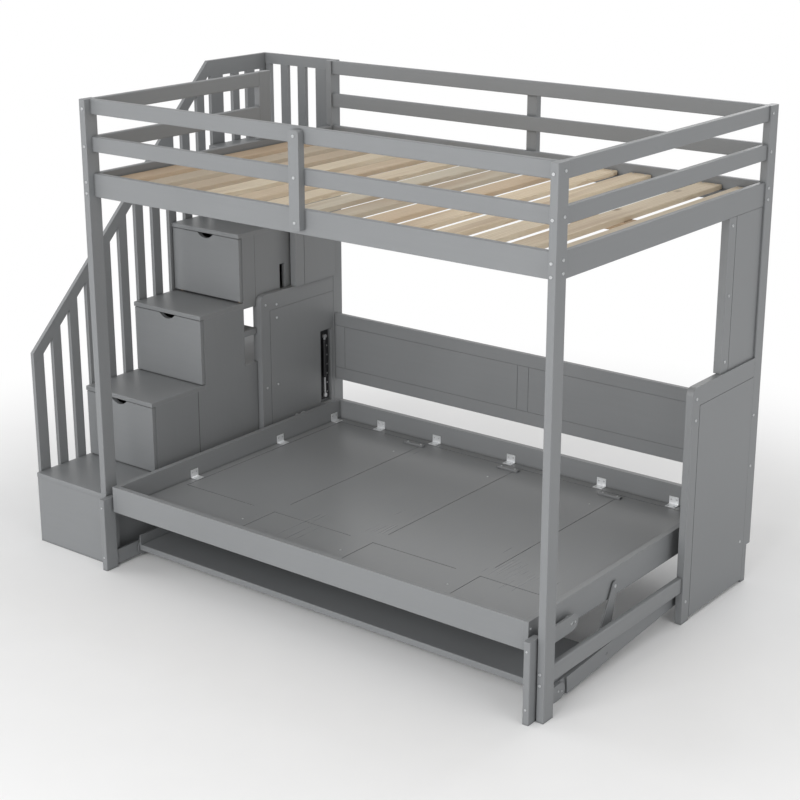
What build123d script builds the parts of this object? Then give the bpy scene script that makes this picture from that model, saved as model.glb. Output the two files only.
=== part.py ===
from build123d import *
import math
import os

# A bunk bed with a storage stair and a lower bed that folds up like a wall bed, with a desk under it.
# All sizes are millimetres. x runs from the stair's outer side to the right, y from the front
# faces of the posts to the back, z up from the floor. Each piece is moved at the end so that the
# origin lies on the floor under the middle of the whole.

# Overall sizes, as printed beside the bed
LENGTH = 2489.2
DEPTH = 1463.0
HEIGHT = 1856.7

# Stair
STAIR_W = 405.0
STEP_FRONTS = (8.0, 296.0, 587.0, 828.0, 1072.0)
TREAD_T = 18.0
NOSING = 2.0
SIDE_T = 18.0
RAILING_T = 17.0
LANDING_ABOVE_RAIL = 5.0
NOSE_R = 4.0
SIDE_SEAM_Y = 560.0
CASE_BACK_T = 12.0
BAY_H = 125.0
BAY_BAR = 25.0
BAY_TOP_BAR = 8.0

# Posts and rails of the upper bed
POST_X = 29.0
POST_Y = 61.0
POST_EASE = 3.0
POST_NOTCH = 30.0
POST_NOTCH_Z = 150.0
RAIL_T = 22.0
RAIL_SETBACK = 30.0
END_RAIL_SETBACK = 6.5
GUARD_H = 57.0
MIDDLE_GUARD_DOWN = 196.7
SIDE_RAIL_DOWN = 366.7
SIDE_RAIL_H = 89.0
RAIL_EASE = 4.0
UPRIGHT_W = 45.0
UPRIGHT_FOOT_GAP = 20.0
UPRIGHT_TOP_GAP = 9.0
UPRIGHT_ROUND = 12.0
ENTRY_Y = 1018.0
ENTRY_BOARD_W = 70.0

# Slats
SLAT_COUNT = 14
SLAT_W = 90.0
SLAT_T = 19.0
SLAT_BEVEL = 2.5
SLAT_END_GAP = 4.0
SLAT_TOP_UP = 60.0
LEDGE_W = 22.0
LEDGE_H = 22.0
BEAM_W = 60.0
BEAM_H = 32.0

# End panels and the long board at the back
LOWER_PANEL_T = 27.0
LOWER_PANEL_Y0 = 925.0
LOWER_PANEL_H = 915.0
PANEL_ROUND = 28.0
PANEL_STILE = 55.0
PANEL_FOOT_RAISE = 12.0
UPPER_PANEL_T = 30.0
UPPER_PANEL_Y0 = 1142.0
UPPER_PANEL_INSET = 8.0
GROOVE_W = 3.0
GROOVE_D = 1.5
GROOVE_DOWN = 75.0
BACK_BOARD_T = 19.0
BACK_BOARD_Z0 = 430.0
BACK_BOARD_H = 305.0
STRETCHER_Z0 = 105.0
STRETCHER_H = 100.0

# Lower bed, a shallow box that folds up
BED_END_GAP = 38.0
BED_Y0 = 2.0
BED_Y1 = 1392.0
BED_Z0 = 243.0
BED_H = 105.0
BED_RAIL_T = 22.0
DECK_T = 9.0
CLEAT_W = 20.0
CLEAT_H = 12.0
BATTEN_W = 105.0
DECK_JOINTS = (1005.0, 1495.0, 1985.0)
DECK_FRONT_STRIP = 325.0
DECK_PANEL_START = 420.0
DECK_BORDER = 38.0
DECK_BACK_BORDER = 45.0
FOLD_Y = 1140.0
FOLD_Z = 326.0
PIN_R = 8.0
PIN_CLEARANCE = 0.05
FOLD_PLATE_T = 3.0
FOLD_PLATE_R = 26.0
SMALL_PLATE_R = 18.0
PIN_END_GAP = 1.0
PIN_PAST_PLATE = 1.5

# Linkage that keeps the front legs and the desk level while the bed folds
LINK_OFFSET_Y = 70.0
LINK_OFFSET_Z = 226.0
ARM_FRONT_Y = 165.0
ARM_FRONT_Z = 38.0
ARM_T = 15.0
ARM_DEPTH = 64.0
ARM_FROM_BED = 10.0
LAP_T = 7.0
LAP_GAP = 0.5
LAP_BACK = 45.0
LINK_BOARD_T = 8.5
LINK_BOARD_H = 60.0
LINK_PIN_R = 6.0
OPEN_CLEARANCE = 0.4
LEG_T = 25.0
LEG_Y0 = -40.0
LEG_Y1 = 22.0
LEG_H = 300.0

# Desk board under the lower bed
DESK_PIVOT_Y = 535.0
DESK_Y0 = 140.0
DESK_Y1 = 486.0
DESK_Z0 = 30.0
DESK_T = 25.0
DESK_SIDE_T = 5.0
DESK_SIDE_H = 65.0
DESK_SIDE_R = 18.0
DESK_SIDE_NECK = 50.0
DESK_EDGE_R = 3.0
DESK_FROM_BED = 3.6

# Drawers
DRAWER_GAP = 3.0
DRAWER_FRONT_T = 18.0
DRAWER_BOX_T = 12.0
DRAWER_FLOOR_T = 6.0
DRAWER_HEAD_ROOM = 24.0
DRAWER_BACK_GAP = 3.0
RUNNER_W = 12.0
RUNNER_H = 16.0
RUNNER_GAP = 0.4
FINGER_NOTCH_R = 44.0
FINGER_NOTCH_DEPTH = 20.0
TOP_DRAWER_LIFT = 6.0

# Stair railing
NEWEL_Y0 = 31.0
NEWEL_W = 52.0
BALUSTER_W = 44.0
BALUSTER_PITCH = 97.0
BALUSTER_Y0 = 135.0
BALUSTER_DROP = 41.0
HANDRAIL_Y0 = 34.0
HANDRAIL_FOOT_DOWN = 1053.7
HANDRAIL_PAST_NEWEL = 3.0
HANDRAIL_Y1 = 1082.0
HANDRAIL_DEPTH = 45.0
LEVEL_RAIL_H = 67.0
WIDE_POST_Y0 = 1097.0
WIDE_POST_W = 75.0
LANDING_POSTS = ((229.0, 40.0), (137.0, 49.0), (38.0, 38.0))
BACK_RAIL_H = 45.0
BACK_POSTS = ((20.0, 29.0), (108.0, 41.0), (206.0, 45.0), (310.0, 58.0))

# Gas springs in the lower end panels
SPRING_FROM_BACK = 54.0
SPRING_TOP_Z = 640.0
SPRING_LOW_Z = 365.0
SPRING_TUBE_R = 9.0
SPRING_ROD_R = 4.0
SPRING_TUBE_L = 170.0
SPRING_EYE_R = 10.0
SPRING_EYE_T = 10.0
SPRING_NECK_R = 6.0
SPRING_NECK_L = 6.0
RECESS_W = 74.0
RECESS_Z0 = 335.0
RECESS_Z1 = 673.0
RECESS_D = 18.0
SPRING_STUD_R = 4.0

# Places that follow from the sizes above
BED_X0 = STAIR_W
BED_MID_X = (BED_X0 + LENGTH) / 2
RAIL_X0 = BED_X0 + POST_X
RAIL_X1 = LENGTH - POST_X
FRONT_RAIL_Y = RAIL_SETBACK
BACK_RAIL_Y = DEPTH - RAIL_SETBACK - RAIL_T
END_RAIL_X = BED_X0 + END_RAIL_SETBACK
PANEL_Y1 = DEPTH - POST_Y
SPRING_Y = PANEL_Y1 - SPRING_FROM_BACK
MIDDLE_GUARD_Z = HEIGHT - MIDDLE_GUARD_DOWN
SIDE_RAIL_Z = HEIGHT - SIDE_RAIL_DOWN
LOW_X0 = RAIL_X0 + BED_END_GAP
LOW_X1 = RAIL_X1 - BED_END_GAP
CARCASS_X0 = RAILING_T
STAIR_BACK_Y = DEPTH - RAILING_T
LANDING_Z = SIDE_RAIL_Z + LANDING_ABOVE_RAIL
STEP_RISE = LANDING_Z / len(STEP_FRONTS)
STEP_TOPS = tuple(STEP_RISE * (number + 1) for number in range(len(STEP_FRONTS)))
CASE_BACKS = (SIDE_SEAM_Y, STEP_FRONTS[3], STEP_FRONTS[4])
BAY_Z0 = STEP_TOPS[1] + BAY_BAR
BAY_Z1 = BAY_Z0 + BAY_H + BAY_BAR
SLAT_Z = SIDE_RAIL_Z + SLAT_TOP_UP
ARM_X1 = LOW_X0 - ARM_FROM_BED
ARM_X0 = ARM_X1 - ARM_T
BED_PIVOT = (FOLD_Y, FOLD_Z)
ARM_FRONT = (ARM_FRONT_Y, ARM_FRONT_Z)
LEG_PIVOT = (ARM_FRONT_Y + LINK_OFFSET_Y, ARM_FRONT_Z + LINK_OFFSET_Z)
ARM_PIVOT = (FOLD_Y - LINK_OFFSET_Y, FOLD_Z - LINK_OFFSET_Z)
ARM_SLOPE = (ARM_PIVOT[1] - ARM_FRONT_Z) / (ARM_PIVOT[0] - ARM_FRONT_Y)
DESK_LOW_Y = DESK_PIVOT_Y - LINK_OFFSET_Y
DESK_LOW_Z = ARM_FRONT_Z + (DESK_LOW_Y - ARM_FRONT_Y) * ARM_SLOPE
DESK_PIVOT = (DESK_PIVOT_Y, DESK_LOW_Z + LINK_OFFSET_Z)
DESK_LOW = (DESK_LOW_Y, DESK_LOW_Z)
PANEL_PIN_X0 = BED_X0 + LOWER_PANEL_T - RECESS_D + PIN_END_GAP
DESK_SIDE_X1 = LOW_X0 - DESK_FROM_BED
DESK_SIDE_X0 = DESK_SIDE_X1 - DESK_SIDE_T
HANDRAIL_Z0 = HEIGHT - HANDRAIL_FOOT_DOWN
HANDRAIL_SLOPE = (HEIGHT - HANDRAIL_Z0) / (HANDRAIL_Y1 - HANDRAIL_Y0)
HANDRAIL_FALL = HANDRAIL_DEPTH * math.hypot(1, HANDRAIL_SLOPE)
ORIGIN = (LENGTH / 2, (LEG_Y0 + DEPTH) / 2)


def board(x0, x1, y0, y1, z0, z1):
    """A square-edged board between two opposite corners."""
    middle = Pos((x0 + x1) / 2, (y0 + y1) / 2, (z0 + z1) / 2)
    return middle * Box(x1 - x0, y1 - y0, z1 - z0)


def eased(shape, axis, radius=RAIL_EASE):
    """The same board with its long edges rounded."""
    return fillet(shape.edges().filter_by(axis), radius)


def side_outline(points, x0, x1):
    """A flat piece cut to an outline of (y, z) points, lying between two x planes."""
    face = make_face(Polyline(*[(x0, y, z) for y, z in points], close=True))
    return extrude(face, amount=x1 - x0, dir=(1, 0, 0))


def pin(x0, x1, place, radius):
    """A round bar along x from one plane to another, centred on a (y, z) place."""
    middle = Pos((x0 + x1) / 2, place[0], place[1])
    return middle * Rot(0, 90, 0) * Cylinder(radius, x1 - x0)


def mirrored(shape):
    """The piece for the right-hand end of the bed."""
    return shape.mirror(Plane.YZ.offset(BED_MID_X))


def both_ends(shape):
    return [shape, mirrored(shape)]


def post(x0, y0, notch_y=None):
    shape = eased(board(x0, x0 + POST_X, y0, y0 + POST_Y, 0, HEIGHT), Axis.Z, POST_EASE)
    if notch_y is None:
        return shape
    return shape - board(x0, x0 + POST_X, notch_y, notch_y + POST_NOTCH, 0, POST_NOTCH_Z)


def long_rail(y0, z0, height):
    return eased(board(RAIL_X0, RAIL_X1, y0, y0 + RAIL_T, z0, z0 + height), Axis.X)


def end_rail(z0, height, y1=PANEL_Y1):
    return eased(board(END_RAIL_X, END_RAIL_X + RAIL_T, POST_Y, y1, z0, z0 + height), Axis.Y)


def upright(y0):
    x0 = BED_MID_X - UPRIGHT_W / 2
    z1 = HEIGHT - UPRIGHT_TOP_GAP
    z0 = SIDE_RAIL_Z + UPRIGHT_FOOT_GAP
    shape = board(x0, x0 + UPRIGHT_W, y0, y0 + RAIL_SETBACK, z0, z1)
    top = shape.edges().filter_by(Axis.Y).group_by(Axis.Z)[-1]
    return fillet(top, UPRIGHT_ROUND)


def upper_bed():
    """Posts, guard rails and side rails, the entry board, slats and what carries the slats."""
    guard_z = (HEIGHT - GUARD_H, MIDDLE_GUARD_Z)
    right_x = LENGTH - POST_X
    back_y = DEPTH - POST_Y
    pieces = {
        "front_left_post": post(BED_X0, 0),
        "front_right_post": post(right_x, 0),
        "back_left_post": post(BED_X0, back_y, DEPTH - POST_NOTCH),
        "back_right_post": post(right_x, back_y, DEPTH - POST_NOTCH),
        "front_guard_rails": [long_rail(FRONT_RAIL_Y, z, GUARD_H) for z in guard_z],
        "back_guard_rails": [long_rail(BACK_RAIL_Y, z, GUARD_H) for z in guard_z],
        "front_side_rail": long_rail(FRONT_RAIL_Y, SIDE_RAIL_Z, SIDE_RAIL_H),
        "back_side_rail": long_rail(BACK_RAIL_Y, SIDE_RAIL_Z, SIDE_RAIL_H),
        "left_side_rail": end_rail(SIDE_RAIL_Z, SIDE_RAIL_H),
        "right_side_rail": mirrored(end_rail(SIDE_RAIL_Z, SIDE_RAIL_H)),
        "right_guard_rails": [mirrored(end_rail(z, GUARD_H)) for z in guard_z],
        "front_centre_upright": upright(FRONT_RAIL_Y - RAIL_SETBACK),
        "back_centre_upright": upright(BACK_RAIL_Y + RAIL_T),
    }
    entry_y0 = ENTRY_Y - ENTRY_BOARD_W
    pieces["left_guard_rails"] = [end_rail(z, GUARD_H, entry_y0) for z in guard_z]
    entry = board(BED_X0, RAIL_X0, entry_y0, ENTRY_Y, SIDE_RAIL_Z + SIDE_RAIL_H, HEIGHT)
    pieces["stair_entry_board"] = eased(entry, Axis.Z)
    pieces.update(slat_base())
    return pieces


def slat_base():
    """Ledges along the side rails, a centre beam between the end rails, and the slats on them."""
    front = FRONT_RAIL_Y + RAIL_T
    ledge_z = SLAT_Z - SLAT_T - LEDGE_H
    beam_z = SLAT_Z - SLAT_T - BEAM_H
    middle = (front + BACK_RAIL_Y) / 2
    x0 = END_RAIL_X + RAIL_T
    x1 = LENGTH - END_RAIL_SETBACK - RAIL_T
    pitch = (x1 - x0 - 2 * SLAT_END_GAP - SLAT_W) / (SLAT_COUNT - 1)
    slats = []
    for number in range(SLAT_COUNT):
        left = x0 + SLAT_END_GAP + number * pitch
        slat = board(left, left + SLAT_W, front + SLAT_END_GAP, BACK_RAIL_Y - SLAT_END_GAP,
                     SLAT_Z - SLAT_T, SLAT_Z)
        slats.append(chamfer(slat.edges().filter_by(Axis.Y), SLAT_BEVEL))
    ledges = [board(RAIL_X0, RAIL_X1, y, y + LEDGE_W, ledge_z, ledge_z + LEDGE_H)
              for y in (front, BACK_RAIL_Y - LEDGE_W)]
    beam = board(x0, x1, middle - BEAM_W / 2, middle + BEAM_W / 2, beam_z, beam_z + BEAM_H)
    return {
        "slat_ledges": ledges,
        "slat_centre_beam": beam,
        "bed_slats": slats,
    }


def lower_panel():
    """Left lower end panel: rounded front corner, stile foot, groove lines, spring recess."""
    y0 = LOWER_PANEL_Y0
    x0 = BED_X0
    x1 = BED_X0 + LOWER_PANEL_T
    panel = board(x0, x1, y0, PANEL_Y1, 0, LOWER_PANEL_H)
    corner = panel.edges().filter_by(Axis.X).group_by(Axis.Z)[-1].sort_by(Axis.Y)[0]
    panel = fillet(corner, PANEL_ROUND)
    panel -= board(x0, x1, y0 + PANEL_STILE, PANEL_Y1, 0, PANEL_FOOT_RAISE)
    groove_z = LOWER_PANEL_H - GROOVE_DOWN
    for face_x in (x0, x1 - GROOVE_D):
        panel -= board(face_x, face_x + GROOVE_D, y0 + PANEL_STILE, PANEL_Y1, groove_z, groove_z + GROOVE_W)
        panel -= board(face_x, face_x + GROOVE_D, y0 + PANEL_STILE, y0 + PANEL_STILE + GROOVE_W,
                       PANEL_FOOT_RAISE, groove_z)
    recess_y0 = SPRING_Y - RECESS_W / 2
    panel -= board(x1 - RECESS_D, x1, recess_y0, recess_y0 + RECESS_W, RECESS_Z0, RECESS_Z1)
    panel -= pin(x1 - RECESS_D, x1, ARM_PIVOT, PIN_R + PIN_CLEARANCE)
    panel -= pin(x1 - RECESS_D, x1, BED_PIVOT, PIN_R + PIN_CLEARANCE)
    return panel


def upper_panel():
    x0 = BED_X0 + UPPER_PANEL_INSET
    x1 = x0 + UPPER_PANEL_T
    y0 = UPPER_PANEL_Y0
    panel = board(x0, x1, y0, PANEL_Y1, LOWER_PANEL_H, SIDE_RAIL_Z)
    for face_x in (x0, x1 - GROOVE_D):
        panel -= board(face_x, face_x + GROOVE_D, y0 + PANEL_STILE, y0 + PANEL_STILE + GROOVE_W,
                       LOWER_PANEL_H, SIDE_RAIL_Z)
    return panel


def back_board():
    """Long framed board between the back posts, with groove lines on its front face."""
    z0 = BACK_BOARD_Z0
    z1 = z0 + BACK_BOARD_H
    shape = board(RAIL_X0, RAIL_X1, BACK_RAIL_Y, BACK_RAIL_Y + BACK_BOARD_T, z0, z1)
    inset = PANEL_STILE
    for z in (z0 + inset, z1 - inset):
        shape -= board(RAIL_X0, RAIL_X1, BACK_RAIL_Y, BACK_RAIL_Y + GROOVE_D, z, z + GROOVE_W)
    seams = (RAIL_X0 + inset, BED_MID_X - inset / 2, BED_MID_X + inset / 2, RAIL_X1 - inset)
    for x in seams:
        shape -= board(x, x + GROOVE_W, BACK_RAIL_Y, BACK_RAIL_Y + GROOVE_D, z0 + inset, z1 - inset)
    return shape


def end_frames():
    """End panels, the back board and the low stretcher between the right post and panel."""
    stretcher = board(END_RAIL_X, END_RAIL_X + RAIL_T, POST_Y, LOWER_PANEL_Y0, STRETCHER_Z0,
                      STRETCHER_Z0 + STRETCHER_H)
    return {
        "left_lower_panel": lower_panel(),
        "right_lower_panel": mirrored(lower_panel()),
        "left_upper_panel": upper_panel(),
        "right_upper_panel": mirrored(upper_panel()),
        "back_board": back_board(),
        "right_floor_stretcher": mirrored(eased(stretcher, Axis.Y)),
    }


def stair_side_points():
    """The stepped outline of a stair side, set back by the thickness of the drawer fronts."""
    points = [(STEP_FRONTS[0] + NOSING, 0)]
    for number, (front, top) in enumerate(zip(STEP_FRONTS, STEP_TOPS)):
        setback = NOSING if number in (0, 4) else NOSING + DRAWER_FRONT_T
        points.append((front + setback, points[-1][1]))
        points.append((front + setback, top - TREAD_T))
    points.append((STAIR_BACK_Y, LANDING_Z - TREAD_T))
    points.append((STAIR_BACK_Y, 0))
    return points[1:]


def stair_side(x0):
    """One side of the stair, with the open bays beside the lower end panel."""
    side = side_outline(stair_side_points(), x0, x0 + SIDE_T)
    bay_y0 = STEP_FRONTS[3] + NOSING + DRAWER_FRONT_T
    for z0, z1 in ((BAY_Z0, BAY_Z1 - BAY_BAR), (BAY_Z1, STEP_TOPS[2] - TREAD_T - BAY_TOP_BAR)):
        side -= board(x0, x0 + SIDE_T, bay_y0, LOWER_PANEL_Y0, z0, z1)
    return side


def tread(number):
    """A tread with its nosing; it runs back as the floor of the drawer case above it."""
    top = STEP_TOPS[number]
    if number == 4:
        back = STAIR_BACK_Y
    elif number == 3:
        back = STEP_FRONTS[4] + NOSING
    else:
        back = STEP_FRONTS[number + 1] + NOSING + DRAWER_FRONT_T
    shape = board(CARCASS_X0, STAIR_W, STEP_FRONTS[number], back, top - TREAD_T, top)
    nose = shape.edges().filter_by(Axis.X).group_by(Axis.Y)[0].sort_by(Axis.Z)[-1]
    shape = fillet(nose, NOSE_R)
    if number < 3:
        case_back = CASE_BACKS[number] - (CASE_BACK_T if number == 2 else 0)
        shape += board(CARCASS_X0 + SIDE_T, STAIR_W - SIDE_T, STEP_FRONTS[number + 1], case_back,
                       top - TREAD_T, top)
    return shape


def stair_carcass():
    """Stair sides, front board, case backs, treads and landing."""
    inner_x0 = CARCASS_X0 + SIDE_T
    inner_x1 = STAIR_W - SIDE_T
    side = stair_side(inner_x1)
    seams = (0, SIDE_SEAM_Y, LOWER_PANEL_Y0, DEPTH)
    front_side, middle_side, rear_side = [
        side & board(inner_x1, STAIR_W, y0, y1, 0, HEIGHT) for y0, y1 in zip(seams, seams[1:])]
    front_y = STEP_FRONTS[0] + NOSING
    front = board(inner_x0, inner_x1, front_y, front_y + SIDE_T, 0, STEP_RISE - TREAD_T)
    case_backs = []
    for number in (1, 2, 3):
        back_y = CASE_BACKS[number - 1]
        case_backs.append(board(inner_x0, inner_x1, back_y - CASE_BACK_T, back_y,
                                STEP_TOPS[number - 1], STEP_TOPS[number] - TREAD_T))
    riser = board(inner_x0, inner_x1, STEP_FRONTS[4] + NOSING, STEP_FRONTS[4] + NOSING + CASE_BACK_T,
                  STEP_TOPS[3] - TREAD_T, LANDING_Z - TREAD_T)
    back = board(inner_x0, inner_x1, STAIR_BACK_Y - CASE_BACK_T, STAIR_BACK_Y, 0, LANDING_Z - TREAD_T)
    divider = board(inner_x0, inner_x1, LOWER_PANEL_Y0, LOWER_PANEL_Y0 + CASE_BACK_T, BAY_Z0 - TREAD_T,
                    STEP_TOPS[2] - TREAD_T)
    shelves = [board(inner_x0, inner_x1, STEP_FRONTS[3], LOWER_PANEL_Y0, z - TREAD_T, z)
               for z in (BAY_Z0, BAY_Z1)]
    return {
        "stair_left_side": stair_side(CARCASS_X0),
        "stair_right_front_side": front_side,
        "stair_right_middle_side": middle_side,
        "stair_right_rear_side": rear_side,
        "stair_front_board": front,
        "stair_inner_boards": case_backs + [riser, back, divider],
        "bay_shelves": shelves,
        "treads": [tread(number) for number in range(4)],
        "landing_board": tread(4),
    }


def step_under(y):
    """The top of the step that a railing bar at this y stands beside."""
    return [top for front, top in zip(STEP_FRONTS, STEP_TOPS) if front <= y][-1]


def handrail_under(y):
    return HANDRAIL_Z0 + (y - HANDRAIL_Y0) * HANDRAIL_SLOPE - HANDRAIL_FALL


def sloped_bar(y0, width):
    """A railing bar whose top is cut to the slope of the handrail."""
    y1 = y0 + width
    z0 = step_under(y0) - BALUSTER_DROP
    points = [(y0, z0), (y1, z0), (y1, handrail_under(y1)), (y0, handrail_under(y0))]
    return side_outline(points, 0, RAILING_T)


def railing():
    """Newel, sloping handrail with its bars, and the level rails round the landing."""
    y0 = HANDRAIL_Y0 - HANDRAIL_PAST_NEWEL
    y1 = HANDRAIL_Y1
    foot = handrail_under(y0)
    handrail = side_outline([(y0, foot), (y1, HEIGHT - HANDRAIL_FALL), (y1, HEIGHT),
                             (y0, foot + HANDRAIL_FALL)], 0, RAILING_T)
    count = int((y1 - BALUSTER_Y0 - BALUSTER_W) // BALUSTER_PITCH) + 1
    bars = [sloped_bar(BALUSTER_Y0 + BALUSTER_PITCH * n, BALUSTER_W) for n in range(count)]
    landing_z = LANDING_Z - BALUSTER_DROP
    level_z = HEIGHT - LEVEL_RAIL_H
    places = [(WIDE_POST_Y0, WIDE_POST_W)] + [(DEPTH - back, width) for back, width in LANDING_POSTS]
    posts = [board(0, RAILING_T, y, y + w, landing_z, level_z) for y, w in places]
    back_z = HEIGHT - BACK_RAIL_H
    back_posts = [board(x, x + w, STAIR_BACK_Y, DEPTH, landing_z, back_z) for x, w in BACK_POSTS]
    return {
        "newel_post": sloped_bar(NEWEL_Y0, NEWEL_W),
        "sloping_handrail": handrail,
        "sloping_balusters": bars,
        "landing_side_rail": board(0, RAILING_T, y1, DEPTH, level_z, HEIGHT),
        "landing_side_posts": posts,
        "landing_back_rail": board(RAILING_T, STAIR_W, STAIR_BACK_Y, DEPTH, back_z, HEIGHT),
        "landing_back_posts": back_posts,
    }


def drawer(number):
    """Front board with a finger notch and the open box behind it, for the case at this step."""
    front_y = STEP_FRONTS[number] + NOSING
    z0 = STEP_TOPS[number - 1] + DRAWER_GAP
    z1 = STEP_TOPS[number] - TREAD_T - DRAWER_GAP
    if number == 3:
        z0 += TOP_DRAWER_LIFT
    x0 = CARCASS_X0 + DRAWER_GAP
    x1 = STAIR_W - DRAWER_GAP
    front = board(x0, x1, front_y, front_y + DRAWER_FRONT_T, z0, z1)
    middle = (x0 + x1) / 2
    rise = (FINGER_NOTCH_R ** 2 - FINGER_NOTCH_DEPTH ** 2) / (2 * FINGER_NOTCH_DEPTH)
    radius = rise + FINGER_NOTCH_DEPTH
    notch = Pos(middle, front_y + DRAWER_FRONT_T / 2, z1 + rise) * Rot(90, 0, 0) * Cylinder(
        radius, DRAWER_FRONT_T)
    front -= notch
    box_x0 = CARCASS_X0 + SIDE_T + RUNNER_W + RUNNER_GAP
    box_x1 = STAIR_W - SIDE_T - RUNNER_W - RUNNER_GAP
    box_y0 = front_y + DRAWER_FRONT_T
    box_y1 = CASE_BACKS[number - 1] - CASE_BACK_T - DRAWER_BACK_GAP
    box_z0 = z0 + RUNNER_GAP
    box_z1 = z1 - DRAWER_HEAD_ROOM
    box = board(box_x0, box_x1, box_y0, box_y1, box_z0, box_z1)
    box -= board(box_x0 + DRAWER_BOX_T, box_x1 - DRAWER_BOX_T, box_y0, box_y1 - DRAWER_BOX_T,
                 box_z0 + DRAWER_FLOOR_T, box_z1)
    return front, box


def drawer_runners():
    """Wooden runners on the case sides, just clear of the drawer boxes."""
    runners = []
    for number in (1, 2, 3):
        y0 = STEP_FRONTS[number] + NOSING + DRAWER_FRONT_T + RUNNER_GAP
        y1 = CASE_BACKS[number - 1] - CASE_BACK_T
        z0 = STEP_TOPS[number - 1]
        x0 = CARCASS_X0 + SIDE_T
        x1 = STAIR_W - SIDE_T
        runners.append(board(x0, x0 + RUNNER_W, y0, y1, z0, z0 + RUNNER_H))
        runners.append(board(x1 - RUNNER_W, x1, y0, y1, z0, z0 + RUNNER_H))
    return runners


def deck():
    """The lower bed's deck: a flat board whose joints and panel borders show as grooves."""
    x0, x1 = LOW_X0 + BED_RAIL_T, LOW_X1 - BED_RAIL_T
    y0, y1 = BED_Y0 + BED_RAIL_T, BED_Y1 - BED_RAIL_T
    z0 = BED_Z0 + CLEAT_H
    z1 = z0 + DECK_T
    shape = board(x0, x1, y0, y1, z0, z1)
    left, back = x0 + DECK_BORDER, y1 - DECK_BACK_BORDER
    cuts = [(left, left + GROOVE_W, y0 + DECK_FRONT_STRIP, back), (left, x1, back, back + GROOVE_W)]
    for x in DECK_JOINTS:
        cuts.append((x, x + GROOVE_W, y0, y0 + DECK_FRONT_STRIP))
        cuts.append((x, x + GROOVE_W, y0 + DECK_PANEL_START, back))
    for start, end in zip((left,) + DECK_JOINTS, DECK_JOINTS + (x1,)):
        strip = y0 + DECK_FRONT_STRIP
        cuts.append((start, end - BATTEN_W, strip, strip + GROOVE_W))
    for left_x, right_x, front_y, back_y in cuts:
        shape -= board(left_x, right_x, front_y, back_y, z1 - GROOVE_D, z1)
    return shape


def deck_cleats():
    """Cleats along the rails and a batten under each deck joint, all below the deck."""
    x0, x1 = LOW_X0 + BED_RAIL_T, LOW_X1 - BED_RAIL_T
    y0, y1 = BED_Y0 + BED_RAIL_T, BED_Y1 - BED_RAIL_T
    z0, z1 = BED_Z0, BED_Z0 + CLEAT_H
    cleats = [board(x0, x1, y, y + CLEAT_W, z0, z1) for y in (y0, y1 - CLEAT_W)]
    ends = (x0, *(x - BATTEN_W / 2 for x in DECK_JOINTS), x1 - CLEAT_W)
    widths = (CLEAT_W, *(BATTEN_W for _ in DECK_JOINTS), CLEAT_W)
    for x, width in zip(ends, widths):
        cleats.append(board(x, x + width, y0 + CLEAT_W, y1 - CLEAT_W, z0, z1))
    return cleats


def lower_bed():
    """The folding bed: four rails, the deck on its cleats, and the pivots at both ends."""
    z1 = BED_Z0 + BED_H
    t = BED_RAIL_T
    end = board(LOW_X0, LOW_X0 + t, BED_Y0, BED_Y1, BED_Z0, z1)
    plate_x0 = LOW_X0 - FOLD_PLATE_T
    hinge = pin(plate_x0, LOW_X0, BED_PIVOT, FOLD_PLATE_R)
    hinge += pin(PANEL_PIN_X0, plate_x0, BED_PIVOT, PIN_R)
    leg_pin = pin(plate_x0, LOW_X0, LEG_PIVOT, SMALL_PLATE_R)
    leg_pin += pin(ARM_X0 + PIN_END_GAP, plate_x0, LEG_PIVOT, LINK_PIN_R)
    desk_pin = pin(DESK_SIDE_X0 - PIN_PAST_PLATE, LOW_X0, DESK_PIVOT, LINK_PIN_R)
    return {
        "lower_bed_long_rails": [board(LOW_X0 + t, LOW_X1 - t, y, y + t, BED_Z0, z1)
                                 for y in (BED_Y0, BED_Y1 - t)],
        "lower_bed_end_rails": both_ends(end),
        "lower_bed_deck": deck(),
        "lower_bed_cleats": deck_cleats(),
        "lower_bed_pivots": both_ends(hinge) + both_ends(leg_pin) + both_ends(desk_pin),
    }


def link_board(place):
    """One of the two level boards of a leg unit, rounded about its pivot, from the leg's back."""
    x1 = ARM_X1 - LAP_T - LAP_GAP
    x0 = x1 - LINK_BOARD_T
    half = LINK_BOARD_H / 2
    shape = board(x0, x1, LEG_Y1, place[0], place[1] - half, place[1] + half)
    return shape + pin(x0, x1, place, half)


def arm():
    """Long arm from the end panel to the leg unit, with a thinned front end for the lap."""
    half = ARM_DEPTH / 2
    length = math.dist(ARM_FRONT, ARM_PIVOT)
    angle = math.degrees(math.atan(ARM_SLOPE))
    bar = Pos((ARM_X0 + ARM_X1) / 2, length / 2, 0) * Box(ARM_T, length, ARM_DEPTH)
    bar += Rot(0, 90, 0) * Pos(0, 0, (ARM_X0 + ARM_X1) / 2) * Cylinder(half, ARM_T)
    bar += Pos(0, length, 0) * Rot(0, 90, 0) * Pos(0, 0, (ARM_X0 + ARM_X1) / 2) * Cylinder(half, ARM_T)
    lap = board(ARM_X0, ARM_X1 - LAP_T, -half, LAP_BACK, -half, half)
    bar = Pos(0, *ARM_FRONT) * Rot(angle, 0, 0) * (bar - lap)
    bar -= pin(ARM_X0, ARM_X1, ARM_FRONT, LINK_PIN_R + OPEN_CLEARANCE)
    bar -= pin(ARM_X0, ARM_X1, DESK_LOW, LINK_PIN_R + OPEN_CLEARANCE)
    pivot = pin(PANEL_PIN_X0, ARM_X0, ARM_PIVOT, PIN_R)
    return bar + pivot


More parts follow.
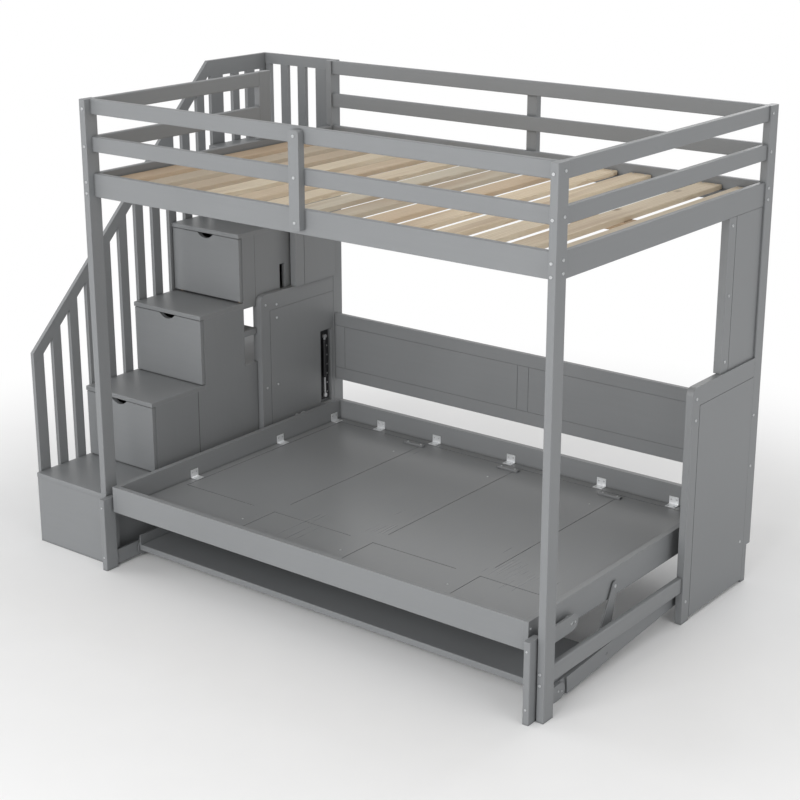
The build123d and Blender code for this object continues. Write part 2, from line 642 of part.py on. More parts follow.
def linkage():
    """Arms, leg units and the desk that hangs between the bed and the arms."""
    x1 = ARM_X1 - LAP_T - LAP_GAP
    low = link_board(ARM_FRONT) + pin(x1, ARM_X1, ARM_FRONT, LINK_PIN_R)
    high = link_board(LEG_PIVOT)
    high -= pin(x1 - LINK_BOARD_T, x1, LEG_PIVOT, LINK_PIN_R + PIN_CLEARANCE)
    leg_x0 = ARM_X1 - LEG_T
    leg = eased(board(leg_x0, ARM_X1, LEG_Y0, LEG_Y1, 0, LEG_H), Axis.Z)
    half = DESK_SIDE_R
    side = side_outline([
        (DESK_Y0, DESK_Z0), (DESK_Y1, DESK_Z0), (DESK_PIVOT_Y + half, DESK_PIVOT[1]),
        (DESK_PIVOT_Y - half, DESK_PIVOT[1]), (DESK_LOW_Y - DESK_SIDE_NECK, DESK_Z0 + DESK_SIDE_H),
        (DESK_Y0, DESK_Z0 + DESK_SIDE_H)], DESK_SIDE_X0, DESK_SIDE_X1)
    side += pin(DESK_SIDE_X0, DESK_SIDE_X1, DESK_PIVOT, half)
    side -= pin(DESK_SIDE_X0, DESK_SIDE_X1, DESK_PIVOT, LINK_PIN_R + PIN_CLEARANCE)
    side += pin(ARM_X0 + PIN_END_GAP, DESK_SIDE_X0, DESK_LOW, LINK_PIN_R)
    desk_x1 = 2 * BED_MID_X - DESK_SIDE_X1
    desk = board(DESK_SIDE_X1, desk_x1, DESK_Y0, DESK_Y1, DESK_Z0, DESK_Z0 + DESK_T)
    return {
        "left_arm": arm(),
        "right_arm": mirrored(arm()),
        "left_leg": [leg, low, high],
        "right_leg": [mirrored(leg), mirrored(low), mirrored(high)],
        "desk_board": eased(desk, Axis.X, DESK_EDGE_R),
        "desk_side_plates": both_ends(side),
    }


def gas_spring():
    """Tube, rod and end fittings on studs in the recess of a lower end panel."""
    x = BED_X0 + LOWER_PANEL_T - RECESS_D / 2
    tube_z1 = SPRING_TOP_Z - SPRING_EYE_R - SPRING_NECK_L
    tube_z0 = tube_z1 - SPRING_TUBE_L
    tube = Pos(x, SPRING_Y, (tube_z0 + tube_z1) / 2) * Cylinder(SPRING_TUBE_R, SPRING_TUBE_L)
    rod_z1 = tube_z0
    rod_z0 = SPRING_LOW_Z
    rod = Pos(x, SPRING_Y, (rod_z0 + rod_z1) / 2) * Cylinder(SPRING_ROD_R, rod_z1 - rod_z0)
    fittings = []
    for z, reach in ((SPRING_TOP_Z, tube_z1), (SPRING_LOW_Z, rod_z0)):
        eye = Pos(x, SPRING_Y, z) * Rot(0, 90, 0) * Cylinder(SPRING_EYE_R, SPRING_EYE_T)
        stud = pin(BED_X0 + LOWER_PANEL_T - RECESS_D, x, (SPRING_Y, z), SPRING_STUD_R)
        fittings.append(eye + stud)
    neck = Pos(x, SPRING_Y, (SPRING_TOP_Z + tube_z1) / 2) * Cylinder(SPRING_NECK_R, SPRING_TOP_Z - tube_z1)
    fittings[0] += neck
    rod -= fittings[1]
    return tube, rod, fittings


def springs():
    tube, rod, fittings = gas_spring()
    return {
        "gas_spring_tubes": both_ends(tube),
        "gas_spring_rods": both_ends(rod) + fittings + [mirrored(piece) for piece in fittings],
    }


def write(name, piece):
    """Move a piece, or a group of like pieces, to the shared origin and write its file."""
    solids = []
    for item in piece if isinstance(piece, list) else [piece]:
        solids.extend(item.solids())
    moved = [Pos(-ORIGIN[0], -ORIGIN[1], 0) * solid for solid in solids]
    shape = moved[0] if len(moved) == 1 else Compound(children=moved)
    export_step(shape, f"parts/{name}.step")


def main():
    os.makedirs("parts", exist_ok=True)
    pieces = {}
    for group in (upper_bed, end_frames, stair_carcass, railing, lower_bed, linkage, springs):
        pieces.update(group())
    for number in (1, 2, 3):
        front, box = drawer(number)
        pieces[f"drawer_{number}_front"] = front
        pieces[f"drawer_{number}_box"] = box
    pieces["drawer_runners"] = drawer_runners()
    for name, piece in pieces.items():
        write(name, piece)
    print(len(pieces), "nodes")


main()
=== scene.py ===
"""Finishes, fittings, light and camera for a bunk bed with a storage stair and a folding lower bed.

Every length is in metres. x runs to the right along the bed, y from the front to the back, z up.
The origin is on the floor under the middle of the bed.
"""

import math

import bpy
import numpy as np
from bpy.props import FloatProperty, FloatVectorProperty, PointerProperty
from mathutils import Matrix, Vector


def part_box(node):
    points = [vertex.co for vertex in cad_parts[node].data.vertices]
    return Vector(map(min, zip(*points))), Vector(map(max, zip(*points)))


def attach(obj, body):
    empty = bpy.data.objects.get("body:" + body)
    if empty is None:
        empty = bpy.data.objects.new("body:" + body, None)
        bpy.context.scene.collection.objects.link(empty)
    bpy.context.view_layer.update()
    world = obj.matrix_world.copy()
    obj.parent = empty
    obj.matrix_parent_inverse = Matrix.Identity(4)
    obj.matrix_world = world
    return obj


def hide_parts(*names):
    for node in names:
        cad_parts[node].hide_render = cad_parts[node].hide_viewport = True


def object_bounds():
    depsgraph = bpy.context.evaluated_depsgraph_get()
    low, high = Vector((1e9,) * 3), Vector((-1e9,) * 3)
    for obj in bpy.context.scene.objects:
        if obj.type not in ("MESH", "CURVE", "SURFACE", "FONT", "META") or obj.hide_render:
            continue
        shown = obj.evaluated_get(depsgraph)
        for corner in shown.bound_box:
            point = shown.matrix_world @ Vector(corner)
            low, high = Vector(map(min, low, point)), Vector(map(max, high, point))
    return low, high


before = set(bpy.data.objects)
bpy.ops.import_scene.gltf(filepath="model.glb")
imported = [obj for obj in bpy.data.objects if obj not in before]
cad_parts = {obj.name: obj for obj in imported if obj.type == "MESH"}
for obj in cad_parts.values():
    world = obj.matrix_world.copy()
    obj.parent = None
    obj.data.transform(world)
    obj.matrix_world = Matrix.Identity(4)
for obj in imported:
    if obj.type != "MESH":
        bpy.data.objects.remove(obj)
CAD_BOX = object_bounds()

bl_info = {
    "name": "Bunk bed with folding lower bed",
    "version": (1, 0, 0),
    "blender": (4, 5, 0),
    "location": "View3D > Sidebar > Bunk bed",
    "description": "Paint, wood, fittings and stage for the bunk bed",
    "category": "Object",
}

# The frame's places, read once so that the fittings follow the joined parts
LOW_CORNER, HIGH_CORNER = (np.array(corner) for corner in CAD_BOX)
TURN = 2 * math.pi


def corners(node):
    """Lowest and highest corner of a joined part, as arrays."""
    low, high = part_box(node)
    return np.array(low), np.array(high)


class BunkSizes(bpy.types.PropertyGroup):
    """Sizes of the small fittings."""

    bolt_radius: FloatProperty(
        name="Bolt head radius", description="Radius of the round bolt heads", default=0.0056,
        subtype="DISTANCE", unit="LENGTH")
    bolt_height: FloatProperty(
        name="Bolt head height", description="How far a bolt head stands proud", default=0.0022,
        subtype="DISTANCE", unit="LENGTH")
    screw_radius: FloatProperty(
        name="Screw head radius", description="Radius of the countersunk screws", default=0.0040,
        subtype="DISTANCE", unit="LENGTH")
    bracket_leaf: FloatProperty(
        name="Bracket leaf", description="Length of each leaf of a corner bracket", default=0.034,
        subtype="DISTANCE", unit="LENGTH")
    bracket_width: FloatProperty(
        name="Bracket width", description="Width of a corner bracket", default=0.042,
        subtype="DISTANCE", unit="LENGTH")
    joint_bar_length: FloatProperty(
        name="Joint bar length", description="Length of the bars across the deck joints",
        default=0.1, subtype="DISTANCE", unit="LENGTH")
    stretcher_height: FloatProperty(
        name="Stretcher height", description="Height of the rail near the floor", default=0.06,
        subtype="DISTANCE", unit="LENGTH")
    edge_round: FloatProperty(
        name="Edge rounding", description="Radius that the paint leaves on board edges",
        default=0.0014, subtype="DISTANCE", unit="LENGTH")


class BunkFinishes(bpy.types.PropertyGroup):
    """Colours of the finishes."""

    paint: FloatVectorProperty(
        name="Paint", description="Grey paint on the boards", default=(0.205, 0.212, 0.218),
        size=3, min=0, max=1, subtype="COLOR")
    pine: FloatVectorProperty(
        name="Pine", description="Bare slat wood", default=(0.74, 0.63, 0.47),
        size=3, min=0, max=1, subtype="COLOR")
    steel: FloatVectorProperty(
        name="Steel", description="Zinc-plated fittings", default=(0.50, 0.51, 0.52),
        size=3, min=0, max=1, subtype="COLOR")
    black: FloatVectorProperty(
        name="Black", description="Black coat of the gas springs", default=(0.018, 0.018, 0.020),
        size=3, min=0, max=1, subtype="COLOR")
    floor: FloatVectorProperty(
        name="Floor", description="Pale floor", default=(0.86, 0.86, 0.86),
        size=3, min=0, max=1, subtype="COLOR")


def sizes():
    return bpy.context.scene.bunk_sizes


def finishes():
    return bpy.context.scene.bunk_finishes


def new_group(name, inputs, outputs):
    """Starts a shader node group: inputs and outputs are (name, socket type, default) rows."""
    tree = bpy.data.node_groups.new(name, "ShaderNodeTree")
    for label, kind, default in inputs:
        socket = tree.interface.new_socket(label, in_out="INPUT", socket_type=kind)
        socket.default_value = default
    for label, kind in outputs:
        tree.interface.new_socket(label, in_out="OUTPUT", socket_type=kind)
    return tree, tree.nodes.new("NodeGroupInput"), tree.nodes.new("NodeGroupOutput")


def node(tree, kind, values=(), **settings):
    """Adds a node, sets its properties, then its input sockets by name or number."""
    made = tree.nodes.new(kind)
    for key, value in settings.items():
        setattr(made, key, value)
    for key, value in dict(values).items():
        made.inputs[key].default_value = value
    return made


def math_node(tree, operation, first, second=None, clamp=False):
    """Adds a Math node fed by sockets or plain numbers and gives its output."""
    made = node(tree, "ShaderNodeMath", operation=operation, use_clamp=clamp)
    for slot, value in enumerate((first, second)):
        if isinstance(value, bpy.types.NodeSocket):
            tree.links.new(value, made.inputs[slot])
        elif value is not None:
            made.inputs[slot].default_value = value
    return made.outputs[0]


def mixed(tree, factor, first, second, blend="MIX"):
    """Adds a colour Mix node fed by sockets or plain colours and gives its output."""
    made = node(tree, "ShaderNodeMix", data_type="RGBA", blend_type=blend)
    for slot, value in ((0, factor), (6, first), (7, second)):
        if isinstance(value, bpy.types.NodeSocket):
            tree.links.new(value, made.inputs[slot])
        else:
            made.inputs[slot].default_value = value
    return made.outputs[2]


def fibre_group():
    """Wood fibre under paint: long streaks along local x, and a slow change of tone."""
    tree, source, sink = new_group(
        "fibre", [("Vector", "NodeSocketVector", (0, 0, 0)), ("Streaks", "NodeSocketFloat", 90.0)],
        [("Tone", "NodeSocketFloat"), ("Height", "NodeSocketFloat")])
    stretch = node(tree, "ShaderNodeVectorMath", operation="MULTIPLY")
    stretch.inputs[1].default_value = (0.035, 1.0, 1.0)
    tree.links.new(source.outputs["Vector"], stretch.inputs[0])
    streaks = node(tree, "ShaderNodeTexNoise", {"Detail": 5.0, "Roughness": 0.62, "Distortion": 0.4})
    tree.links.new(stretch.outputs[0], streaks.inputs["Vector"])
    tree.links.new(source.outputs["Streaks"], streaks.inputs["Scale"])
    slow = node(tree, "ShaderNodeTexNoise", {"Scale": 2.3, "Detail": 2.0, "Roughness": 0.5})
    tree.links.new(source.outputs["Vector"], slow.inputs["Vector"])
    peel = node(tree, "ShaderNodeTexNoise", {"Scale": 320.0, "Detail": 2.0, "Roughness": 0.5})
    tree.links.new(source.outputs["Vector"], peel.inputs["Vector"])
    tone = math_node(tree, "ADD", math_node(tree, "MULTIPLY", slow.outputs["Fac"], 0.65),
                     math_node(tree, "MULTIPLY", streaks.outputs["Fac"], 0.35), clamp=True)
    height = math_node(tree, "ADD", streaks.outputs["Fac"],
                       math_node(tree, "MULTIPLY", peel.outputs["Fac"], 0.25))
    tree.links.new(tone, sink.inputs["Tone"])
    tree.links.new(height, sink.inputs["Height"])
    return tree


def edge_group():
    """Board edges: a softened normal, a mask that is 1 where the edge turns, and an ambient occlusion value
    that is used to paint shade into creases, grooves and corners.
    """
    tree, source, sink = new_group(
        "edges", [("Radius", "NodeSocketFloat", 0.0014), ("Sharpness", "NodeSocketFloat", 9.0)],
        [("Normal", "NodeSocketVector"), ("Mask", "NodeSocketFloat"), ("Occlusion Shade", "NodeSocketFloat")])
    # Ambient occlusion: where it is low, the paint is darkened as painted shade.
    near = node(tree, "ShaderNodeAmbientOcclusion", {"Distance": 0.012}, samples=6)
    tree.links.new(near.outputs["AO"], sink.inputs["Occlusion Shade"])
    soft = node(tree, "ShaderNodeBevel", samples=4)
    tree.links.new(source.outputs["Radius"], soft.inputs["Radius"])
    flat = node(tree, "ShaderNodeNewGeometry")
    turn = node(tree, "ShaderNodeVectorMath", operation="DOT_PRODUCT")
    tree.links.new(soft.outputs["Normal"], turn.inputs[0])
    tree.links.new(flat.outputs["Normal"], turn.inputs[1])
    away = math_node(tree, "SUBTRACT", 1.0, turn.outputs["Value"])
    mask = math_node(tree, "MULTIPLY", away, source.outputs["Sharpness"], clamp=True)
    tree.links.new(soft.outputs["Normal"], sink.inputs["Normal"])
    tree.links.new(mask, sink.inputs["Mask"])
    return tree


def edge_highlight_group():
    """Painted edge highlights: broken-up noise that lets an edge mask through only here and there."""
    tree, source, sink = new_group(
        "edge_highlight", [("Mask", "NodeSocketFloat", 0.0), ("Vector", "NodeSocketVector", (0, 0, 0)),
                ("Amount", "NodeSocketFloat", 0.5)], [("Edge Highlight", "NodeSocketFloat")])
    patches = node(tree, "ShaderNodeTexNoise", {"Scale": 26.0, "Detail": 4.0, "Roughness": 0.7})
    tree.links.new(source.outputs["Vector"], patches.inputs["Vector"])
    low = math_node(tree, "SUBTRACT", 1.0, source.outputs["Amount"])
    over = math_node(tree, "SUBTRACT", patches.outputs["Fac"], math_node(tree, "MULTIPLY", low, 0.62))
    edge_highlight = math_node(tree, "MULTIPLY", math_node(tree, "MULTIPLY", over, 5.0, clamp=True),
                    source.outputs["Mask"], clamp=True)
    tree.links.new(edge_highlight, sink.inputs["Edge Highlight"])
    return tree


def grouped(tree, group, values=()):
    """Places a shared group in a material."""
    made = tree.nodes.new("ShaderNodeGroup")
    made.node_tree = group
    for key, value in dict(values).items():
        made.inputs[key].default_value = value
    return made


def blank_material(name):
    material = bpy.data.materials.new(name)
    material.use_nodes = True
    tree = material.node_tree
    return material, tree, tree.nodes["Principled BSDF"]


def four(colour, gain=1.0):
    return tuple(min(1.0, part * gain) for part in colour) + (1.0,)


# Turns that bring the fibre direction of a board onto local x
ALONG = {"x": (0, 0, 0), "y": (0, 0, -math.pi / 2), "z": (0, math.pi / 2, 0)}


def oriented(tree, along, offset=(0, 0, 0)):
    """Object coordinates turned so that local x runs with the boards."""
    place = node(tree, "ShaderNodeTexCoord")
    turned = node(tree, "ShaderNodeMapping", {"Rotation": ALONG[along], "Location": offset})
    tree.links.new(place.outputs["Object"], turned.inputs["Vector"])
    return turned.outputs["Vector"]


def seam_mask(tree, seams, width=0.0016):
    """1 on the thin joint lines that cross a built-up side at the given y places."""
    apart = node(tree, "ShaderNodeSeparateXYZ")
    tree.links.new(node(tree, "ShaderNodeTexCoord").outputs["Object"], apart.inputs[0])
    mask = None
    for seam in seams:
        away = math_node(tree, "ABSOLUTE", math_node(tree, "SUBTRACT", apart.outputs["Y"], seam))
        line = math_node(tree, "LESS_THAN", away, width)
        mask = line if mask is None else math_node(tree, "MAXIMUM", mask, line)
    return mask


def painted_wood(name, along, groups, gain=1.0, gloss=0.33, crease_shade=0.42, seams=()):
    """Grey satin paint over a board whose fibre runs along one axis, with painted shade in its creases and
    grooves and patchy painted highlights on its edges.
    """
    material, tree, shader = blank_material(name)
    place = oriented(tree, along)
    fibre = grouped(tree, groups["fibre"], {"Streaks": 95.0})
    tree.links.new(place, fibre.inputs["Vector"])
    edges = grouped(tree, groups["edges"], {"Radius": sizes().edge_round})
    edge_highlight = grouped(tree, groups["edge_highlight"], {"Amount": 0.42})
    tree.links.new(place, edge_highlight.inputs["Vector"])
    tree.links.new(edges.outputs["Mask"], edge_highlight.inputs["Mask"])
    paint = finishes().paint
    body = mixed(tree, fibre.outputs["Tone"], four(paint, 0.90 * gain), four(paint, 1.10 * gain))
    # Painted highlight: lighter paint on the edges, broken into patches by noise.
    highlighted = mixed(tree, math_node(tree, "MULTIPLY", edge_highlight.outputs["Edge Highlight"], 0.5), body,
                   four(paint, 1.55 * gain))
    # Painted shade: the paint turns darker where ambient occlusion finds creases, grooves and corners.
    shaded_and_seamed = mixed(tree, edges.outputs["Occlusion Shade"], four(paint, crease_shade), highlighted)
    if seams:
        shaded_and_seamed = mixed(tree, seam_mask(tree, seams), shaded_and_seamed, four(paint, 0.22))
    tree.links.new(shaded_and_seamed, shader.inputs["Base Color"])
    rough = math_node(tree, "ADD", math_node(tree, "MULTIPLY", fibre.outputs["Tone"], 0.2), gloss)
    tree.links.new(rough, shader.inputs["Roughness"])
    bump = node(tree, "ShaderNodeBump", {"Strength": 0.22, "Distance": 0.0006})
    tree.links.new(fibre.outputs["Height"], bump.inputs["Height"])
    tree.links.new(edges.outputs["Normal"], bump.inputs["Normal"])
    tree.links.new(bump.outputs["Normal"], shader.inputs["Normal"])
    shader.inputs["Specular IOR Level"].default_value = 0.42
    return material


def bare_pine(name, along, groups, pitch=None, start=0.0):
    """Bare pine. Where boards repeat along x, each board gets its own tone and its own grain."""
    material, tree, shader = blank_material(name)
    place = node(tree, "ShaderNodeTexCoord").outputs["Object"]
    apart = node(tree, "ShaderNodeSeparateXYZ")
    tree.links.new(place, apart.inputs[0])
    if pitch is None:
        board = math_node(tree, "FLOOR", math_node(tree, "MULTIPLY", apart.outputs["X"], 0.0))
    else:
        board = math_node(tree, "FLOOR", math_node(
            tree, "DIVIDE", math_node(tree, "SUBTRACT", apart.outputs["X"], start), pitch))
    chance = node(tree, "ShaderNodeTexWhiteNoise", noise_dimensions="1D")
    tree.links.new(math_node(tree, "ADD", board, 0.37), chance.inputs["W"])
    shift = node(tree, "ShaderNodeVectorMath", operation="MULTIPLY_ADD")
    tree.links.new(chance.outputs["Color"], shift.inputs[0])
    shift.inputs[1].default_value = (7.0, 9.0, 5.0)
    tree.links.new(place, shift.inputs[2])
    turned = node(tree, "ShaderNodeMapping", {"Rotation": ALONG[along]})
    tree.links.new(shift.outputs[0], turned.inputs["Vector"])
    grain_place = node(tree, "ShaderNodeVectorMath", operation="MULTIPLY")
    grain_place.inputs[1].default_value = (0.07, 1.0, 1.0)
    tree.links.new(turned.outputs["Vector"], grain_place.inputs[0])
    bend = node(tree, "ShaderNodeTexNoise", {"Scale": 9.0, "Detail": 2.0, "Roughness": 0.5})
    tree.links.new(grain_place.outputs[0], bend.inputs["Vector"])
    rings = node(tree, "ShaderNodeTexWave", {"Scale": 26.0, "Distortion": 7.0, "Detail": 3.0,
                                             "Detail Scale": 1.6, "Detail Roughness": 0.6},
                 wave_type="BANDS", bands_direction="Y", wave_profile="SAW")
    tree.links.new(grain_place.outputs[0], rings.inputs["Vector"])
    knot_place = node(tree, "ShaderNodeVectorMath", operation="MULTIPLY")
    knot_place.inputs[1].default_value = (0.5, 1.0, 1.0)
    tree.links.new(turned.outputs["Vector"], knot_place.inputs[0])
    knots = node(tree, "ShaderNodeTexVoronoi", {"Scale": 6.5, "Randomness": 1.0}, feature="F1")
    tree.links.new(knot_place.outputs[0], knots.inputs["Vector"])
    knot = math_node(tree, "SUBTRACT", 1.0, math_node(
        tree, "MULTIPLY", knots.outputs["Distance"], 9.0), clamp=True)
    pine = finishes().pine
    late = mixed(tree, math_node(tree, "MULTIPLY", rings.outputs["Fac"], 0.55), four(pine, 1.15),
                 (pine[0] * 0.74, pine[1] * 0.60, pine[2] * 0.46, 1.0))
    second = node(tree, "ShaderNodeSeparateColor")
    tree.links.new(chance.outputs["Color"], second.inputs[0])
    browned = math_node(tree, "MULTIPLY", math_node(tree, "POWER", second.outputs[0], 2.2), 0.9)
    tinted = mixed(tree, browned, late, (pine[0] * 0.62, pine[1] * 0.47, pine[2] * 0.36, 1.0))
    greyed = math_node(tree, "MULTIPLY", math_node(tree, "POWER", second.outputs[1], 1.6), 0.6)
    silver = mixed(tree, greyed, tinted, (0.47, 0.45, 0.38, 1.0))
    streak = node(tree, "ShaderNodeMapRange", {"From Min": 0.52, "From Max": 0.72, "To Min": 0.0,
                                               "To Max": 0.55}, interpolation_type="SMOOTHSTEP")
    tree.links.new(bend.outputs["Fac"], streak.inputs["Value"])
    weathered = mixed(tree, streak.outputs["Result"], silver,
                      (pine[0] * 0.50, pine[1] * 0.40, pine[2] * 0.33, 1.0))
    knotted = mixed(tree, knot, weathered, (0.13, 0.062, 0.028, 1.0))
    tree.links.new(knotted, shader.inputs["Base Color"])
    edges = grouped(tree, groups["edges"], {"Radius": sizes().edge_round})
    bump = node(tree, "ShaderNodeBump", {"Strength": 0.3, "Distance": 0.0008})
    tree.links.new(rings.outputs["Fac"], bump.inputs["Height"])
    tree.links.new(edges.outputs["Normal"], bump.inputs["Normal"])
    tree.links.new(bump.outputs["Normal"], shader.inputs["Normal"])
    rough = math_node(tree, "ADD", math_node(tree, "MULTIPLY", rings.outputs["Fac"], 0.16), 0.52)
    tree.links.new(rough, shader.inputs["Roughness"])
    shader.inputs["Specular IOR Level"].default_value = 0.3
    return material


def plated_steel(name, groups, colour, roughness, metallic=1.0):
    """Plated or coated steel: fine brushing, cloudy roughness, softened edges and patchy painted highlights
    on them.
    """
    material, tree, shader = blank_material(name)
    place = oriented(tree, "z")
    fibre = grouped(tree, groups["fibre"], {"Streaks": 420.0})
    tree.links.new(place, fibre.inputs["Vector"])
    edges = grouped(tree, groups["edges"], {"Radius": 0.0006})
    edge_highlight = grouped(tree, groups["edge_highlight"], {"Amount": 0.6})
    tree.links.new(place, edge_highlight.inputs["Vector"])
    tree.links.new(edges.outputs["Mask"], edge_highlight.inputs["Mask"])
    tone = mixed(tree, fibre.outputs["Tone"], four(colour, 0.78), four(colour, 1.15))
    # Painted highlight: lighter colour on the edges, broken into patches by noise.
    edge_highlighted = mixed(tree, math_node(tree, "MULTIPLY", edge_highlight.outputs["Edge Highlight"], 0.6), tone, four(colour, 1.8))
    tree.links.new(edge_highlighted, shader.inputs["Base Color"])
    rough = math_node(tree, "ADD", math_node(tree, "MULTIPLY", fibre.outputs["Tone"], 0.25),
                      roughness - 0.1)
    tree.links.new(rough, shader.inputs["Roughness"])
    bump = node(tree, "ShaderNodeBump", {"Strength": 0.12, "Distance": 0.0003})
    tree.links.new(fibre.outputs["Height"], bump.inputs["Height"])
    tree.links.new(edges.outputs["Normal"], bump.inputs["Normal"])
    tree.links.new(bump.outputs["Normal"], shader.inputs["Normal"])
    shader.inputs["Metallic"].default_value = metallic
    return material


# The finish of each joined part, by the direction that its boards run
BOARDS_ALONG = {
    "x": ("front_guard_rails", "back_guard_rails", "front_side_rail", "back_side_rail",
          "slat_ledges", "back_board", "stair_front_board", "bay_shelves", "treads",
          "landing_board", "landing_back_rail", "lower_bed_long_rails", "desk_board",
          "drawer_1_front", "drawer_2_front", "drawer_3_front", "lower_bed_cleats"),
    "y": ("left_guard_rails", "right_guard_rails", "left_side_rail", "right_side_rail",
          "right_floor_stretcher", "sloping_handrail", "landing_side_rail",
          "lower_bed_end_rails", "lower_bed_deck", "left_arm", "right_arm",
          "drawer_1_box", "drawer_2_box", "drawer_3_box"),
    "z": ("front_left_post", "front_right_post", "back_left_post", "back_right_post",
          "front_centre_upright", "back_centre_upright", "stair_entry_board",
          "left_lower_panel", "right_lower_panel", "left_upper_panel", "right_upper_panel",
          "stair_left_side", "stair_right_front_side", "stair_right_middle_side",
          "stair_right_rear_side", "stair_inner_boards", "newel_post", "sloping_balusters",
          "landing_side_posts", "landing_back_posts", "left_leg", "right_leg"),
}
STEEL_PARTS = ("gas_spring_rods", "lower_bed_pivots", "desk_side_plates")
BLACK_PARTS = ("gas_spring_tubes",)


def dress(part, material):
    """Gives a joined part its finish through its material slots."""
    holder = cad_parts[part]
    if not holder.material_slots:
        raise RuntimeError(f"{part} has no material slot")
    for slot in holder.material_slots:
        slot.link = "OBJECT"
        slot.material = material


class BUNK_OT_finishes(bpy.types.Operator):
    """Make the paint, pine and steel, and put them on the joined parts"""

    bl_idname = "bunk.finishes"
    bl_label = "Finishes"

    def execute(self, context):
        groups = {"fibre": fibre_group(), "edges": edge_group(), "edge_highlight": edge_highlight_group()}
        for along, parts in BOARDS_ALONG.items():
            paint = painted_wood(f"grey_paint_{along}", along, groups)
            for part in parts:
                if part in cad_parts:
                    dress(part, paint)
        low, high = corners("bed_slats")
        slat_gap = (high[0] - low[0] - SLAT_WIDTH) / (SLAT_COUNT - 1)
        dress("bed_slats", bare_pine("slat_pine", "y", groups, slat_gap,
                                     low[0] - (slat_gap - SLAT_WIDTH) / 2))
        rails = bare_pine("rail_pine", "x", groups)
        dress("slat_centre_beam", rails)
        dress("drawer_runners", rails)
        steel = plated_steel("zinc_steel", groups, finishes().steel, 0.42, metallic=0.75)
        black = plated_steel("black_coat", groups, finishes().black, 0.42, metallic=0.2)
        # Zinc whose colour is raised by half: the plating's own colour plus a painted reflection of bright
        # surroundings.
        plated_steel("zinc_with_painted_reflection", groups, tuple(1.5 * part for part in finishes().steel), 0.4,
                     metallic=0.6)
        coated = plated_steel("grey_coated_steel", groups, finishes().paint, 0.46, metallic=0.1)
        # The deck's grooves get a deeper painted shade than the other boards.
        dress("lower_bed_deck", painted_wood("deck_paint", "y", groups, gain=1.06, gloss=0.2,
                                             crease_shade=0.12))
        joint = corners("stair_right_front_side")[1][1]
        rear = corners("stair_right_middle_side")[1][1]
        near = painted_wood("stair_side_paint", "z", groups, seams=(joint, rear))
        for part in ("stair_right_front_side", "stair_right_middle_side"):
            dress(part, near)
        for part in STEEL_PARTS:
            dress(part, steel)
        dress("desk_side_plates", coated)
        for part in BLACK_PARTS:
            dress(part, black)
        bare = [name for name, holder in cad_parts.items()
                if holder.material_slots[0].link != "OBJECT"]
        if bare:
            raise RuntimeError(f"parts with no finish: {bare}")
        return {"FINISHED"}


SLAT_COUNT = 14
SLAT_WIDTH = 0.09
LEG_REACH = 0.04


def piece(name, points, faces, body, material, smooth_under=35.0):
    """Puts worked-out points and faces into a mesh that rides on a body of the bed."""
    mesh = bpy.data.meshes.new(name)
    mesh.from_pydata(points.reshape(-1, 3).tolist(), [], faces)
    mesh.update()
    mesh.shade_smooth()
    mesh.set_sharp_from_angle(angle=math.radians(smooth_under))
    mesh.materials.append(bpy.data.materials[material])
    made = bpy.data.objects.new(name, mesh)
    bpy.context.scene.collection.objects.link(made)
    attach(made, body)
    return made


def upright_frames(directions):
    """Two unit vectors square to each direction, chosen by the axis it leans on least."""
    out = np.asarray(directions, float)
    out = out / np.linalg.norm(out, axis=1, keepdims=True)
    helper = np.eye(3)[np.argmin(np.abs(out), axis=1)]
    first = np.cross(helper, out)
    first = first / np.linalg.norm(first, axis=1, keepdims=True)
    return first, np.cross(out, first), out


def turned_rows(profile, places, directions, steps, hexed=()):
    """Round heads: a profile of (radius, height) carried round each direction.

    A point is place + r(cos a * u + sin a * v) + h * n, for every place, profile row and angle a.
    Rows named in hexed have their radius cut to a hexagon: r cos 30 / cos(a mod 60 - 30 degrees).
    """
    profile = np.asarray(profile, float)
    u, v, n = upright_frames(directions)
    angle = np.arange(steps) * TURN / steps
    radius = np.repeat(profile[:, :1], steps, axis=1)
    cut = math.cos(TURN / 12) / np.cos(np.mod(angle, TURN / 6) - TURN / 12)
    rows = list(hexed)
    radius[rows] = radius[rows] * cut
    ring = (np.cos(angle)[:, None] * u[:, None, None, :] + np.sin(angle)[:, None] * v[:, None, None, :])
    points = (np.asarray(places, float)[:, None, None, :] + radius[None, :, :, None] * ring
              + profile[None, :, 1, None, None] * n[:, None, None, :])
    return points, ring_faces(len(profile), steps, len(places))


def ring_faces(rows, steps, copies):
    """Quads between neighbouring closed rows, and a many-sided face on the first and last row."""
    across, along = np.meshgrid(np.arange(steps), np.arange(rows - 1))
    here = along * steps + across
    beside = along * steps + (across + 1) % steps
    quads = np.stack([here, beside, beside + steps, here + steps], axis=-1).reshape(-1, 4)
    first = np.arange(steps)[::-1]
    last = np.arange(steps) + (rows - 1) * steps
    faces = []
    for copy in range(copies):
        start = copy * rows * steps
        faces += (quads + start).tolist() + [(first + start).tolist(), (last + start).tolist()]
    return faces


def bolt_heads(name, places, directions, body, material="zinc_steel", scale=1.0):
    """Round bolt heads with a hexagon socket, their undersides just inside the wood."""
    r = sizes().bolt_radius * scale
    h = sizes().bolt_height * scale
    profile = [(r, -0.0006), (r, h * 0.45), (r * 0.86, h), (r * 0.52, h), (r * 0.46, h * 0.9),
               (r * 0.44, h * 0.15)]
    points, faces = turned_rows(profile, places, directions, 12, hexed=(3, 4, 5))
    return piece(name, points, faces, body, material)


def screw_heads(name, places, directions, body, material="zinc_steel"):
    """Small domed screw heads with a shallow dish in the middle."""
    r = sizes().screw_radius
    profile = [(r, -0.0005), (r, 0.0003), (r * 0.72, 0.0011), (r * 0.40, 0.0013), (r * 0.3, 0.0004)]
    points, faces = turned_rows(profile, places, directions, 12)
    return piece(name, points, faces, body, material)


